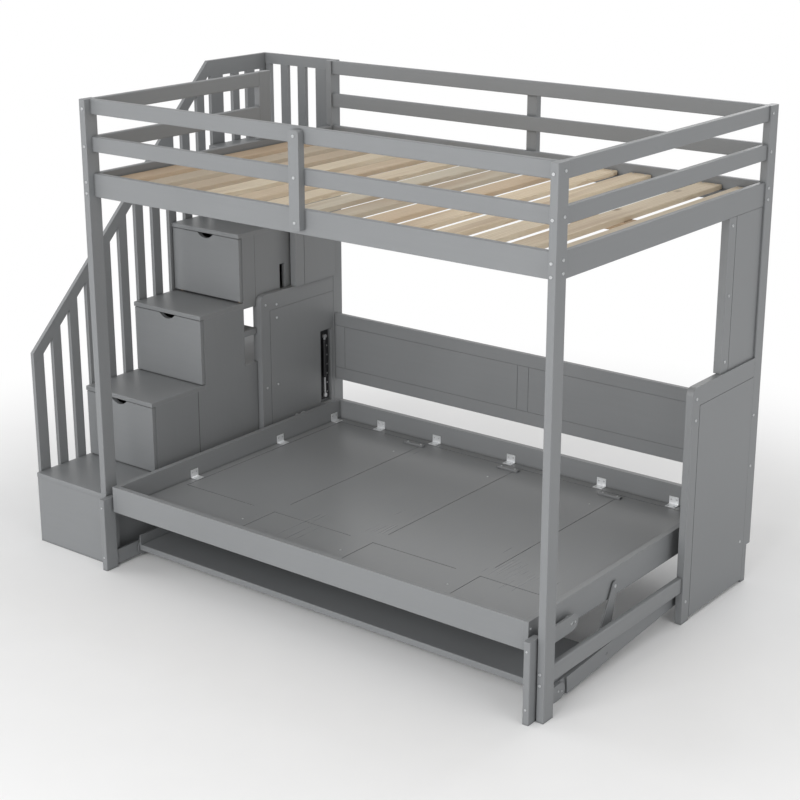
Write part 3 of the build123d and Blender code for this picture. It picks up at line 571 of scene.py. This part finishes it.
def rounded_outline(width, depth, radius, steps=4):
    """Closed outline of a rectangle with round corners, as (count, 2) points, anticlockwise.

    Each corner is centre + radius * (cos a, sin a) over a quarter turn.
    """
    quarter = np.linspace(0, TURN / 4, steps)
    centres = np.array([(1, 1), (-1, 1), (-1, -1), (1, -1)]) * (width / 2 - radius, depth / 2 - radius)
    angle = quarter[None, :] + (np.arange(4) * TURN / 4)[:, None]
    arc = np.stack([np.cos(angle), np.sin(angle)], axis=-1) * radius
    return (centres[:, None, :] + arc).reshape(-1, 2)


def slabs(size, radius, rows, places, along, out, steps=4):
    """Flat plates with eased rims: outlines inset and raised row by row.

    Row (i, h) is the outline of (width - 2i, depth - 2i) at height h above the place; u runs
    along, n out, and v = n x u.
    """
    width, depth = size
    places = np.asarray(places, float)
    u = np.broadcast_to(np.asarray(along, float), places.shape)
    n = np.broadcast_to(np.asarray(out, float), places.shape)
    v = np.cross(n, u)
    loops = np.stack([rounded_outline(width - 2 * i, depth - 2 * i, max(radius - i, 1e-4), steps)
                      for i, _ in rows])
    heights = np.array([h for _, h in rows])
    points = (places[:, None, None, :] + loops[None, :, :, 0, None] * u[:, None, None, :]
              + loops[None, :, :, 1, None] * v[:, None, None, :]
              + heights[None, :, None, None] * n[:, None, None, :])
    return points, ring_faces(len(rows), 4 * steps, len(places))


def bent_strip(leaf, thickness, bend, width, places, wall, floor):
    """Angle brackets: an L-shaped profile with a round bend, carried straight across its width.

    The profile runs up the wall leaf, round the bend (centre + R(cos a, sin a)) and out along
    the floor leaf, then back along the inner faces; wall and floor are unit vectors.
    """
    a = np.linspace(TURN / 2, 3 * TURN / 4, 6)
    outer = np.stack([bend + bend * np.cos(a), bend + bend * np.sin(a)], axis=1)
    inner_bend = bend - thickness
    inner = np.stack([bend + inner_bend * np.cos(a), bend + inner_bend * np.sin(a)], axis=1)[::-1]
    profile = np.vstack([[(0, leaf)], outer, [(leaf, 0)], [(leaf, thickness)], inner,
                         [(thickness, leaf)]])
    places = np.asarray(places, float)
    f = np.asarray(floor, float)
    w = np.asarray(wall, float)
    across = np.cross(f, w)
    offsets = np.array([-width / 2, -width / 2 + 0.001, width / 2 - 0.001, width / 2])
    points = (places[:, None, None, :] + profile[None, None, :, 0, None] * f[:, None, None, :]
              + profile[None, None, :, 1, None] * w[:, None, None, :]
              + offsets[None, :, None, None] * across[:, None, None, :])
    return points, ring_faces(4, len(profile), len(places))


def to_row(points):
    """From the corner of the stair's front, in millimetres, to the shared frame in metres."""
    return np.asarray(points, float) / 1000 + np.array([LOW_CORNER[0], LOW_CORNER[1] + LEG_REACH, 0])


def mirrored_x(places):
    """The same places at the bed's other end."""
    low, high = corners("lower_bed_long_rails")
    flipped = np.asarray(places, float).copy()
    flipped[:, 0] = low[0] + high[0] - flipped[:, 0]
    return flipped


GUARD_HEIGHT = 0.057


def rail_heights():
    """Heights of the bolts: one in each guard rail, two in each side rail."""
    guards_low, guards_high = corners("front_guard_rails")
    side_low, side_high = corners("front_side_rail")
    side = (side_low[2] + side_high[2]) / 2
    guard_half = GUARD_HEIGHT / 2
    return (guards_high[2] - guard_half, guards_low[2] + guard_half, side + 0.021, side - 0.021)


class BUNK_OT_post_bolts(bpy.types.Operator):
    """Bolt heads on the four posts, where the rails, panels and the back board meet them"""

    bl_idname = "bunk.post_bolts"
    bl_label = "Post bolts"

    def execute(self, context):
        heights = rail_heights()
        places, ways = [], []
        for end, side in (("left", -1), ("right", 1)):
            rail_low, rail_high = corners(f"{end}_side_rail")
            rail_x = (rail_low[0] + rail_high[0]) / 2
            for face, way in (("front", -1), ("back", 1)):
                post_low, post_high = corners(f"{face}_{end}_post")
                long_low, long_high = corners(f"{face}_side_rail")
                long_y = (long_low[1] + long_high[1]) / 2
                outer_x = post_high[0] if side > 0 else post_low[0]
                outer_y = post_high[1] if way > 0 else post_low[1]
                for z in heights:
                    places.append((outer_x, long_y, z))
                    ways.append((side, 0, 0))
                    places.append((rail_x, outer_y, z - 0.006))
                    ways.append((0, way, 0))
        board_low, board_high = corners("back_board")
        panel_low, panel_high = corners("right_lower_panel")
        panel_x = (panel_low[0] + panel_high[0]) / 2
        back_y = HIGH_CORNER[1]
        for z in (board_low[2] + 0.05, board_high[2] - 0.05):
            places.append((HIGH_CORNER[0], (board_low[1] + board_high[1]) / 2, z))
            ways.append((1, 0, 0))
        for z in (0.21, 0.46, 0.87):
            places.append((panel_x, back_y, z))
            ways.append((0, 1, 0))
        stretcher_low, stretcher_high = corners("right_floor_stretcher")
        front_y = corners("front_right_post")[0][1]
        for z in (stretcher_low[2] + 0.03, stretcher_high[2] - 0.03):
            places.append(((stretcher_low[0] + stretcher_high[0]) / 2, front_y, z))
            ways.append((0, -1, 0))
        bolt_heads("post_bolts", places, ways, "frame")
        return {"FINISHED"}


class BUNK_OT_upright_bolts(bpy.types.Operator):
    """Bolt heads on the centre uprights, the entry board and the upper end panels"""

    bl_idname = "bunk.upright_bolts"
    bl_label = "Upright bolts"

    def execute(self, context):
        heights = rail_heights()
        places, ways = [], []
        for name, way in (("front_centre_upright", -1), ("back_centre_upright", 1)):
            low, high = corners(name)
            for z in (heights[0], heights[1], (heights[2] + heights[3]) / 2):
                places.append(((low[0] + high[0]) / 2, high[1] if way > 0 else low[1], z))
                ways.append((0, way, 0))
        low, high = corners("stair_entry_board")
        for z in heights[:2]:
            places.append((low[0], (low[1] + high[1]) / 2, z))
            ways.append((-1, 0, 0))
        low, high = corners("right_upper_panel")
        rail_low = corners("right_side_rail")[0][2]
        for z in (low[2] + 0.04, (low[2] + high[2]) / 2, rail_low - 0.03):
            places.append((high[0], low[1] + 0.028, z))
            ways.append((1, 0, 0))
        low, high = corners("right_lower_panel")
        for y, z in ((low[1] + 0.03, high[2] - 0.045), (low[1] + 0.03, high[2] - 0.125),
                     (low[1] + 0.027, 0.085), (high[1] - 0.03, 0.182)):
            places.append((high[0], y, z))
            ways.append((1, 0, 0))
        low, high = corners("left_lower_panel")
        for y, z in ((0.10, 0.86), (0.10, 0.80), (0.03, 0.50), (0.10, 0.50), (0.03, 0.87)):
            places.append((high[0], low[1] + y, z))
            ways.append((1, 0, 0))
        bolt_heads("upright_bolts", places, ways, "frame")
        return {"FINISHED"}


class BUNK_OT_stair_bolts(bpy.types.Operator):
    """Bolt heads at the feet of the railing bars and along the stair sides"""

    bl_idname = "bunk.stair_bolts"
    bl_label = "Stair bolts"

    def execute(self, context):
        low, high = corners("sloping_balusters")
        face_x = low[0]
        places, ways = [], []
        newel_low, newel_high = corners("newel_post")
        bars = [(newel_low[1] + newel_high[1]) / 2]
        bars += [low[1] + BALUSTER_WIDTH / 2 + BALUSTER_PITCH * n for n in range(BALUSTER_COUNT)]
        step_low, _ = corners("stair_left_side")
        fronts = np.array(STEP_FRONTS) + LOW_CORNER[1] + 0.04
        for y in bars:
            step = int(np.sum(fronts <= y - BALUSTER_WIDTH / 2)) - 1
            places.append((face_x, y, STEP_TOPS[max(step, 0)] - 0.022))
            ways.append((-1, 0, 0))
        for y in LANDING_BARS:
            places.append((face_x, y + LOW_CORNER[1] + 0.04, STEP_TOPS[-1] - 0.022))
            ways.append((-1, 0, 0))
        for x in LANDING_BACK_BARS:
            places.append((x + LOW_CORNER[0], HIGH_CORNER[1], STEP_TOPS[-1] - 0.022))
            ways.append((0, 1, 0))
        side_x = step_low[0]
        for number, top in enumerate(STEP_TOPS[:-1]):
            for y in (fronts[number] + 0.10, fronts[number + 1] - 0.02):
                places.append((side_x, y, top - 0.055))
                ways.append((-1, 0, 0))
        bolt_heads("stair_bolts", places, ways, "frame", scale=0.85)
        return {"FINISHED"}


STEP_FRONTS = (0.008, 0.296, 0.587, 0.828, 1.072)
STEP_TOPS = (0.299, 0.598, 0.897, 1.196, 1.495)
BALUSTER_WIDTH = 0.044
BALUSTER_PITCH = 0.097
BALUSTER_COUNT = 10
LANDING_BARS = (1.1345, 1.254, 1.3505, 1.444)
LANDING_BACK_BARS = (0.0345, 0.1285, 0.2285, 0.339)


class BUNK_OT_slat_screws(bpy.types.Operator):
    """Two screws near each end of every slat"""

    bl_idname = "bunk.slat_screws"
    bl_label = "Slat screws"

    def execute(self, context):
        low, high = corners("bed_slats")
        gap = (high[0] - low[0] - SLAT_WIDTH) / (SLAT_COUNT - 1)
        middle = low[0] + SLAT_WIDTH / 2 + gap * np.arange(SLAT_COUNT)
        x = (middle[:, None, None] + np.array([-0.026, 0.026])[None, :, None])
        y = np.array([low[1] + 0.012, high[1] - 0.012])[None, None, :]
        x, y = np.broadcast_arrays(x, y)
        places = np.stack([x.ravel(), y.ravel(), np.full(x.size, high[2])], axis=1)
        screw_heads("slat_screws", places, np.tile((0, 0, 1), (len(places), 1)), "frame")
        return {"FINISHED"}


class BUNK_OT_bed_brackets(bpy.types.Operator):
    """Angle brackets between the rails and the deck of the lower bed, with their screws"""

    bl_idname = "bunk.bed_brackets"
    bl_label = "Lower bed brackets"

    def execute(self, context):
        deck_low, deck_high = corners("lower_bed_deck")
        top = deck_high[2]
        leaf = sizes().bracket_leaf
        plate = 0.0022
        rows = []
        for y in END_BRACKETS:
            rows.append(((deck_low[0], y, top), (1, 0, 0)))
            rows.append(((deck_high[0], y, top), (-1, 0, 0)))
        for x in LONG_BRACKETS:
            rows.append(((x, deck_high[1], top), (0, -1, 0)))
            rows.append(((x, deck_low[1], top), (0, 1, 0)))
        places = np.array([place for place, _ in rows])
        out = np.array([way for _, way in rows], float)
        up = np.tile((0.0, 0.0, 1.0), (len(rows), 1))
        points, faces = bent_strip(leaf, plate, 0.005, sizes().bracket_width, places, up, out)
        # The brackets take the zinc with the painted reflection.
        piece("bed_brackets", points, faces, "lower_bed", "zinc_with_painted_reflection")
        across = np.cross(out, up)
        spread = np.array([-0.012, 0.012])
        flat = (places[:, None, :] + out[:, None, :] * leaf * 0.66
                + across[:, None, :] * spread[None, :, None] + up[:, None, :] * plate)
        tall = (places[:, None, :] + up[:, None, :] * leaf * 0.66
                + across[:, None, :] * spread[None, :, None] + out[:, None, :] * plate)
        screws = np.concatenate([flat.reshape(-1, 3), tall.reshape(-1, 3)])
        ways = np.concatenate([np.repeat(up, 2, axis=0), np.repeat(out, 2, axis=0)])
        screw_heads("bed_bracket_screws", screws, ways, "lower_bed")
        return {"FINISHED"}


# Places of the brackets and deck joints, in the shared frame
END_BRACKETS = tuple(to_row([(0, y, 0) for y in (431, 960, 1325)])[:, 1])
LONG_BRACKETS = tuple(to_row([(x, 0, 0) for x in (730, 1037, 1426, 1868, 2200)])[:, 0])
DECK_JOINTS = tuple(to_row([(x, 0, 0) for x in (1005, 1495, 1985)])[:, 0])


class BUNK_OT_deck_bars(bpy.types.Operator):
    """Painted bars across the deck joints, each with two bolts, and the bolts of the deck"""

    bl_idname = "bunk.deck_bars"
    bl_label = "Deck joint bars"

    def execute(self, context):
        deck_low, deck_high = corners("lower_bed_deck")
        top = deck_high[2]
        length = sizes().joint_bar_length
        spots = [(x - 0.03, deck_high[1] - 0.078, top) for x in DECK_JOINTS]
        points, faces = slabs((length, 0.024), 0.004, ((0, -0.0004), (0, 0.007), (0.002, 0.009)),
                              spots, (1, 0, 0), (0, 0, 1))
        piece("deck_joint_bars", points, faces, "lower_bed", "grey_paint_x")
        bolts = [(x + dx, y, z + 0.009) for x, y, z in spots for dx in (-0.034, 0.034)]
        bolt_heads("deck_bar_bolts", bolts, [(0, 0, 1)] * len(bolts), "lower_bed", scale=0.7)
        deck_bolts = [(x + dx, y, top) for x in DECK_JOINTS for dx in (-0.05,)
                      for y in (deck_low[1] + 0.2, deck_high[1] - 0.2)]
        bolt_heads("deck_bolts", deck_bolts, [(0, 0, 1)] * len(deck_bolts), "lower_bed", scale=0.7)
        return {"FINISHED"}


class BUNK_OT_rail_bolts(bpy.types.Operator):
    """Bolt heads that join the lower bed's rails at its corners"""

    bl_idname = "bunk.rail_bolts"
    bl_label = "Lower bed rail bolts"

    def execute(self, context):
        low, high = corners("lower_bed_end_rails")
        places, ways = [], []
        for x, side in ((low[0], -1), (high[0], 1)):
            for y in (low[1] + 0.013, high[1] - 0.013):
                for z in (low[2] + 0.028, high[2] - 0.028):
                    places.append((x, y, z))
                    ways.append((side, 0, 0))
        bolt_heads("bed_rail_bolts", places, ways, "lower_bed", scale=0.8)
        return {"FINISHED"}


def cell_plate(x0, x1, ys, zs, solid):
    """A flat board cut from a grid of cells, with its holes and steps, as one closed surface.

    A point is (x0 or x1, ys[i], zs[j]). Each solid cell gives a face on both planes, and a wall
    stands on each grid line between a solid cell and an empty one.
    """
    ys, zs = np.asarray(ys, float), np.asarray(zs, float)
    rows, columns = len(ys), len(zs)
    y, z = np.meshgrid(ys, zs, indexing="ij")
    points = np.stack([np.stack([np.full(y.shape, x), y, z], axis=-1) for x in (x0, x1)])
    index = np.arange(2 * rows * columns).reshape(2, rows, columns)
    full = np.zeros((rows + 1, columns + 1), bool)
    full[1:-1, 1:-1] = solid
    i, j = np.nonzero(full[1:-1, 1:-1])
    quads = [np.stack([index[1, i, j], index[1, i + 1, j], index[1, i + 1, j + 1], index[1, i, j + 1]], 1),
             np.stack([index[0, i, j], index[0, i, j + 1], index[0, i + 1, j + 1], index[0, i + 1, j]], 1)]
    for di, dj, first, second in ((-1, 0, (0, 0), (0, 1)), (1, 0, (1, 1), (1, 0)),
                                  (0, -1, (1, 0), (0, 0)), (0, 1, (0, 1), (1, 1))):
        edge = ~full[i + 1 + di, j + 1 + dj]
        a, b = i[edge], j[edge]
        one, two = (a + first[0], b + first[1]), (a + second[0], b + second[1])
        quads.append(np.stack([index[0][one], index[1][one], index[1][two], index[0][two]], 1))
    return points, np.concatenate(quads).tolist()


def board_cells(boards):
    """Several straight boards, each from its lowest to its highest corner, with eased rims.

    Each board is a rectangle outline inset at its faces, raised through its thickness.
    """
    parts, faces, start = [], [], 0
    ease = 0.001
    for low, high in boards:
        low, high = np.array(low, float), np.array(high, float)
        size = high - low
        thin = int(np.argmin(size))
        u, v = np.eye(3)[(thin + 1) % 3], np.eye(3)[(thin + 2) % 3]
        width, depth, thickness = size[(thin + 1) % 3], size[(thin + 2) % 3], size[thin]
        place = (low + high) / 2
        place[thin] = low[thin]
        points, made = slabs((width, depth), 0.0012,
                             ((ease, 0), (0, ease), (0, thickness - ease), (ease, thickness)),
                             [place], u, np.cross(u, v), steps=2)
        parts.append(points.reshape(-1, 3))
        faces += [[corner + start for corner in face] for face in made]
        start += len(parts[-1])
    return np.concatenate(parts), faces


def row_y(y):
    """Distance behind the post fronts, in metres, as a y of the shared frame."""
    return y + LOW_CORNER[1] + LEG_REACH


LANDING_BAY = (1.095, 1.428, 0.598, 0.872)
CASE_SLOT = (1.079, 1.113, 0.913, 1.022)


class BUNK_OT_stair_sides(bpy.types.Operator):
    """The stair's far side with its open bay below the landing, and the near side with its slot"""

    bl_idname = "bunk.stair_sides"
    bl_label = "Stair sides"

    def execute(self, context):
        low, high = corners("stair_left_side")
        setbacks = (0.002, 0.020, 0.020, 0.020, 0.002)
        fronts = [front + back for front, back in zip(STEP_FRONTS, setbacks)]
        tops = [top - 0.018 for top in STEP_TOPS]
        front_bay = (fronts[3], 0.925)
        ys = sorted(set(fronts) | {front_bay[1], LANDING_BAY[0], LANDING_BAY[1], high[1] - row_y(0)})
        zs = sorted({0.0, 0.623, 0.748, 0.773, 0.871, LANDING_BAY[2], LANDING_BAY[3]} | set(tops))
        y_mid = (np.array(ys[1:]) + np.array(ys[:-1]))[:, None] / 2
        z_mid = (np.array(zs[1:]) + np.array(zs[:-1]))[None, :] / 2
        step = np.searchsorted(fronts, y_mid) - 1
        solid = z_mid < np.array(tops)[step]
        in_bay = (y_mid > front_bay[0]) & (y_mid < front_bay[1])
        solid &= ~(in_bay & (((z_mid > 0.623) & (z_mid < 0.748)) | ((z_mid > 0.773) & (z_mid < 0.871))))
        solid &= ~((y_mid > LANDING_BAY[0]) & (y_mid < LANDING_BAY[1])
                   & (z_mid > LANDING_BAY[2]) & (z_mid < LANDING_BAY[3]))
        points, faces = cell_plate(low[0], high[0], row_y(np.array(ys)), zs, solid)
        side = piece("stair_far_side", points, faces, "frame", "grey_paint_z")
        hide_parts("stair_left_side")

        low, high = corners("stair_right_rear_side")
        ys = [0.925, fronts[4], CASE_SLOT[0], CASE_SLOT[1], high[1] - row_y(0)]
        zs = [0.0, CASE_SLOT[2], CASE_SLOT[3], tops[3], tops[4]]
        solid = np.ones((4, 4), bool)
        solid[0, 3] = False
        solid[2, 1] = False
        points, faces = cell_plate(low[0], high[0], row_y(np.array(ys)), zs, solid)
        side = piece("stair_near_rear_side", points, faces, "frame", "grey_paint_z")
        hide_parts("stair_right_rear_side")
        return {"FINISHED"}


class BUNK_OT_stair_inside(bpy.types.Operator):
    """Drawer case backs, the landing's riser and back, and the floor of the open bay"""

    bl_idname = "bunk.stair_inside"
    bl_label = "Stair inner boards"

    def execute(self, context):
        low, high = corners("stair_inner_boards")
        x0, x1 = low[0], high[0]
        tread, thin = 0.018, 0.012
        boards = []
        for number, back in ((1, 0.560), (2, STEP_FRONTS[3]), (3, STEP_FRONTS[4])):
            boards.append(((x0, row_y(back - thin), STEP_TOPS[number - 1]),
                           (x1, row_y(back), STEP_TOPS[number] - tread)))
        boards.append(((x0, row_y(STEP_FRONTS[4] + 0.002), STEP_TOPS[3] - tread),
                       (x1, row_y(STEP_FRONTS[4] + 0.014), STEP_TOPS[4] - tread)))
        boards.append(((x0, high[1] - thin, 0.0), (x1, high[1], STEP_TOPS[4] - tread)))
        boards.append(((x0, row_y(0.925), STEP_TOPS[1] - tread), (x1, high[1] - thin, STEP_TOPS[1])))
        boards.append(((x0, row_y(STEP_FRONTS[4] - thin), STEP_TOPS[2] - tread),
                       (x1, high[1] - thin, STEP_TOPS[2])))
        points, faces = board_cells(boards)
        inside = piece("stair_inside", points, faces, "frame", "grey_paint_x")
        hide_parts("stair_inner_boards")
        return {"FINISHED"}


class BUNK_OT_floor_stretcher(bpy.types.Operator):
    """The narrow rail near the floor between the right post and the end panel"""

    bl_idname = "bunk.floor_stretcher"
    bl_label = "Floor stretcher"

    def execute(self, context):
        low, high = corners("right_floor_stretcher")
        size = (high[0] - low[0], sizes().stretcher_height)
        place = ((low[0] + high[0]) / 2, low[1], low[2] + STRETCHER_RAISE + size[1] / 2)
        ease = 0.0008
        length = high[1] - low[1]
        points, faces = slabs(size, 0.004, ((ease, 0), (0, ease), (0, length - ease), (ease, length)),
                              [place], (-1, 0, 0), (0, 1, 0))
        rail = piece("floor_stretcher", points, faces, "frame", "grey_paint_y")
        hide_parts("right_floor_stretcher")
        return {"FINISHED"}


STRETCHER_RAISE = 0.022


class BUNK_OT_spring_plates(bpy.types.Operator):
    """Black plates that line the recesses behind the gas springs, with a row of rivets"""

    bl_idname = "bunk.spring_plates"
    bl_label = "Gas spring plates"

    def execute(self, context):
        tube_low, tube_high = corners("gas_spring_tubes")
        rod_low, rod_high = corners("gas_spring_rods")
        y = (tube_low[1] + tube_high[1]) / 2
        z0, z1 = rod_low[2] - 0.012, rod_high[2] + 0.014
        width = 0.066
        thickness = 0.0008
        places, ways = [], []
        boards = []
        for wall, side in ((rod_low[0], 1), (rod_high[0], -1)):
            near, far = sorted((wall, wall + side * thickness))
            boards.append(((near, y - width / 2, z0), (far, y + width / 2, z1)))
            for z in np.linspace(z0 + 0.03, z1 - 0.03, 7):
                for dy in (-width / 2 + 0.008, width / 2 - 0.008):
                    places.append((wall + side * thickness, y + dy, z))
                    ways.append((side, 0, 0))
        points, faces = board_cells(boards)
        piece("spring_plates", points, faces, "frame", "black_coat")
        screw_heads("spring_plate_rivets", places, ways, "frame")
        return {"FINISHED"}


class BUNK_OT_link_screws(bpy.types.Operator):
    """Screw heads on the pivots of the legs and arms, and bolt heads on the fronts of the legs"""

    bl_idname = "bunk.link_screws"
    bl_label = "Linkage screws"

    def execute(self, context):
        for side, way in (("left", -1), ("right", 1)):
            leg_low, leg_high = corners(f"{side}_leg")
            arm_low, arm_high = corners(f"{side}_arm")
            face = corners(f"{side}_leg")[0 if side == "left" else 1][0]
            link_x = face + way * -LINK_SET_IN
            front, top = row_y(LINK_LOW[0]), row_y(LINK_HIGH[0])
            places = [(link_x, front + dy, LINK_LOW[1] + dz) for dy, dz in ((-0.011, 0.004), (0.011, -0.004))]
            places += [(link_x, top + dy, LINK_HIGH[1]) for dy in (-0.012, 0.012)]
            bolt_heads(f"{side}_link_screws", places, [(way, 0, 0)] * 4, f"{side}_leg", scale=0.7)
            leg_places = [((leg_low[0] + leg_high[0]) / 2, leg_low[1], z) for z in (0.055, 0.265)]
            bolt_heads(f"{side}_leg_bolts", leg_places, [(0, -1, 0)] * 2, f"{side}_leg", scale=0.7)
        return {"FINISHED"}


LINK_LOW = (0.165, 0.038)
LINK_HIGH = (0.235, 0.264)
LINK_SET_IN = 0.009


class BUNK_OT_spring_collars(bpy.types.Operator):
    """Seal collars, crimped rings and end caps of the gas springs"""

    bl_idname = "bunk.spring_collars"
    bl_label = "Gas spring collars"

    def execute(self, context):
        low, high = corners("gas_spring_tubes")
        radius = (high[1] - low[1]) / 2
        y = (low[1] + high[1]) / 2
        centres = [(low[0] + radius, y, low[2]), (high[0] - radius, y, low[2])]
        lower = [(radius * 0.45, -0.004), (radius * 0.78, -0.004), (radius * 0.94, -0.001),
                 (radius * 1.05, 0.001), (radius * 1.05, 0.006), (radius * 0.96, 0.0075),
                 (radius * 1.05, 0.009), (radius * 1.05, 0.013), (radius * 0.6, 0.0135)]
        points, faces = turned_rows(lower, centres, [(0, 0, 1)] * 2, 20)
        piece("spring_collars", points, faces, "frame", "black_coat")
        upper = [(radius * 0.5, -0.012), (radius * 1.04, -0.0115), (radius * 1.04, -0.004),
                 (radius * 0.9, 0.001), (radius * 0.5, 0.004)]
        tops = [(x, yy, high[2]) for x, yy, _ in centres]
        points, faces = turned_rows(upper, tops, [(0, 0, 1)] * 2, 20)
        piece("spring_end_caps", points, faces, "frame", "black_coat")
        return {"FINISHED"}


class BUNK_OT_stage(bpy.types.Operator):
    """Pale floor, soft studio lamps, white background and the camera"""

    bl_idname = "bunk.stage"
    bl_label = "Stage"

    def execute(self, context):
        stage_floor()
        studio_world()
        for name, place, size, watts in LAMPS:
            studio_lamp(name, place, size, watts)
        stage_camera()
        bpy.context.scene.view_settings.view_transform = "Standard"
        return {"FINISHED"}


FLOOR_REACH = 9.0
LAMPS = (
    ("key_lamp", (0.6, -6.6, 2.5), 4.5, 285.0),
    ("fill_lamp", (-5.4, -2.2, 3.2), 4.0, 70.0),
    ("side_lamp", (5.8, -1.2, 3.0), 4.0, 60.0),
    ("back_lamp", (0.5, 5.6, 4.2), 4.5, 120.0),
)
AIM = (0.0, 0.0, 0.85)
AMBIENT = 0.56


def seen_directly(tree):
    """1 for camera, mirror and glass rays, and 0 for the rest of the light."""
    path = node(tree, "ShaderNodeLightPath")
    return math_node(tree, "MAXIMUM", path.outputs["Is Camera Ray"], math_node(
        tree, "MAXIMUM", path.outputs["Is Glossy Ray"], path.outputs["Is Transmission Ray"]))


def stage_floor():
    """A floor whose far part fades to paper white, so that only the bed's shadow is seen on it."""
    corner = FLOOR_REACH
    grid = np.array([(-corner, -corner, 0), (corner, -corner, 0), (corner, corner, 0),
                     (-corner, corner, 0)], float)
    grid[:, 2] = -0.0005
    mesh = bpy.data.meshes.new("floor")
    mesh.from_pydata(grid.tolist(), [], [(0, 1, 2, 3)])
    floor = bpy.data.objects.new("floor", mesh)
    bpy.context.scene.collection.objects.link(floor)
    material, tree, shader = blank_material("pale_floor")
    shader.inputs["Base Color"].default_value = four(finishes().floor)
    shader.inputs["Roughness"].default_value = 0.9
    shader.inputs["Specular IOR Level"].default_value = 0.1
    place = node(tree, "ShaderNodeTexCoord").outputs["Object"]
    away = node(tree, "ShaderNodeVectorMath", operation="LENGTH")
    tree.links.new(place, away.inputs[0])
    fade = node(tree, "ShaderNodeMapRange", {"From Min": 1.7, "From Max": 3.2, "To Min": 0.0,
                                             "To Max": 1.0}, interpolation_type="SMOOTHSTEP")
    tree.links.new(away.outputs["Value"], fade.inputs["Value"])
    speckle = node(tree, "ShaderNodeTexNoise", {"Scale": 5.0, "Detail": 3.0})
    tree.links.new(place, speckle.inputs["Vector"])
    tone = mixed(tree, speckle.outputs["Fac"], four(finishes().floor, 0.985), four(finishes().floor, 1.015))
    tree.links.new(tone, shader.inputs["Base Color"])
    white = node(tree, "ShaderNodeEmission", {"Color": (1, 1, 1, 1), "Strength": 1.0})
    seen = seen_directly(tree)
    blend = node(tree, "ShaderNodeMixShader")
    tree.links.new(math_node(tree, "MULTIPLY", seen, fade.outputs["Result"]), blend.inputs[0])
    tree.links.new(shader.outputs["BSDF"], blend.inputs[1])
    tree.links.new(white.outputs[0], blend.inputs[2])
    tree.links.new(blend.outputs[0], tree.nodes["Material Output"].inputs["Surface"])
    mesh.materials.append(material)


def studio_world():
    world = bpy.data.worlds.new("studio")
    bpy.context.scene.world = world
    world.use_nodes = True
    tree = world.node_tree
    lit = tree.nodes["Background"]
    lit.inputs["Color"].default_value = (1, 1, 1, 1)
    lit.inputs["Strength"].default_value = AMBIENT
    white = node(tree, "ShaderNodeBackground", {"Color": (1, 1, 1, 1), "Strength": 1.0})
    seen = seen_directly(tree)
    blend = node(tree, "ShaderNodeMixShader")
    tree.links.new(seen, blend.inputs[0])
    tree.links.new(lit.outputs[0], blend.inputs[1])
    tree.links.new(white.outputs[0], blend.inputs[2])
    tree.links.new(blend.outputs[0], tree.nodes["World Output"].inputs["Surface"])


def studio_lamp(name, place, size, watts):
    """A square soft lamp that faces the bed."""
    light = bpy.data.lights.new(name, "AREA")
    light.shape = "SQUARE"
    light.size = size
    light.energy = watts
    lamp = bpy.data.objects.new(name, light)
    bpy.context.scene.collection.objects.link(lamp)
    lamp.location = place
    away = np.array(place) - np.array(AIM)
    lamp.rotation_euler = (math.acos(away[2] / np.linalg.norm(away)), 0,
                           math.atan2(away[1], away[0]) + TURN / 4)


# The camera looks down at the bed from the front right, and is hardly shifted
CAMERA_PLACE = (3.9025, -4.9048, 2.7805)
CAMERA_YAW = 0.6594
CAMERA_DOWN = 0.3061
SENSOR = 36.0
IMAGE = 800.0
FOCAL_PIXELS = 1694.1
CENTRE_PIXEL = (400.0, 370.0)


def stage_camera():
    data = bpy.data.cameras.new("camera")
    camera = bpy.data.objects.new("camera", data)
    bpy.context.scene.collection.objects.link(camera)
    camera.location = CAMERA_PLACE
    camera.rotation_euler = (TURN / 4 - CAMERA_DOWN, 0, CAMERA_YAW)
    data.sensor_width = SENSOR
    data.lens = FOCAL_PIXELS * SENSOR / IMAGE
    data.shift_x = (IMAGE / 2 - CENTRE_PIXEL[0]) / IMAGE
    data.shift_y = (CENTRE_PIXEL[1] - IMAGE / 2) / IMAGE
    data.clip_end = 100.0
    bpy.context.scene.camera = camera


class BUNK_PT_sidebar(bpy.types.Panel):
    """Sizes, colours and the steps that dress the bunk bed."""

    bl_idname = "BUNK_PT_sidebar"
    bl_label = "Bunk bed"
    bl_space_type = "VIEW_3D"
    bl_region_type = "UI"
    bl_category = "Bunk bed"

    def draw(self, context):
        column = self.layout.column()
        for step in STEPS:
            column.operator(step.bl_idname)
        for group in (context.scene.bunk_sizes, context.scene.bunk_finishes):
            for field in group.bl_rna.properties:
                if field.identifier not in ("rna_type", "name"):
                    column.prop(group, field.identifier)


STEPS = (BUNK_OT_finishes, BUNK_OT_post_bolts, BUNK_OT_upright_bolts, BUNK_OT_stair_bolts,
         BUNK_OT_slat_screws, BUNK_OT_bed_brackets, BUNK_OT_deck_bars, BUNK_OT_rail_bolts,
         BUNK_OT_stair_sides, BUNK_OT_stair_inside, BUNK_OT_floor_stretcher,
         BUNK_OT_spring_plates, BUNK_OT_spring_collars, BUNK_OT_link_screws, BUNK_OT_stage)
CLASSES = (BunkSizes, BunkFinishes) + STEPS + (BUNK_PT_sidebar,)


def register():
    for made in CLASSES:
        bpy.utils.register_class(made)
    bpy.types.Scene.bunk_sizes = PointerProperty(type=BunkSizes)
    bpy.types.Scene.bunk_finishes = PointerProperty(type=BunkFinishes)


def unregister():
    del bpy.types.Scene.bunk_finishes
    del bpy.types.Scene.bunk_sizes
    for made in reversed(CLASSES):
        bpy.utils.unregister_class(made)


def main():
    register()
    for step in STEPS:
        group, name = step.bl_idname.split(".")
        getattr(getattr(bpy.ops, group), name)()


if __name__ == "__main__":
    main()
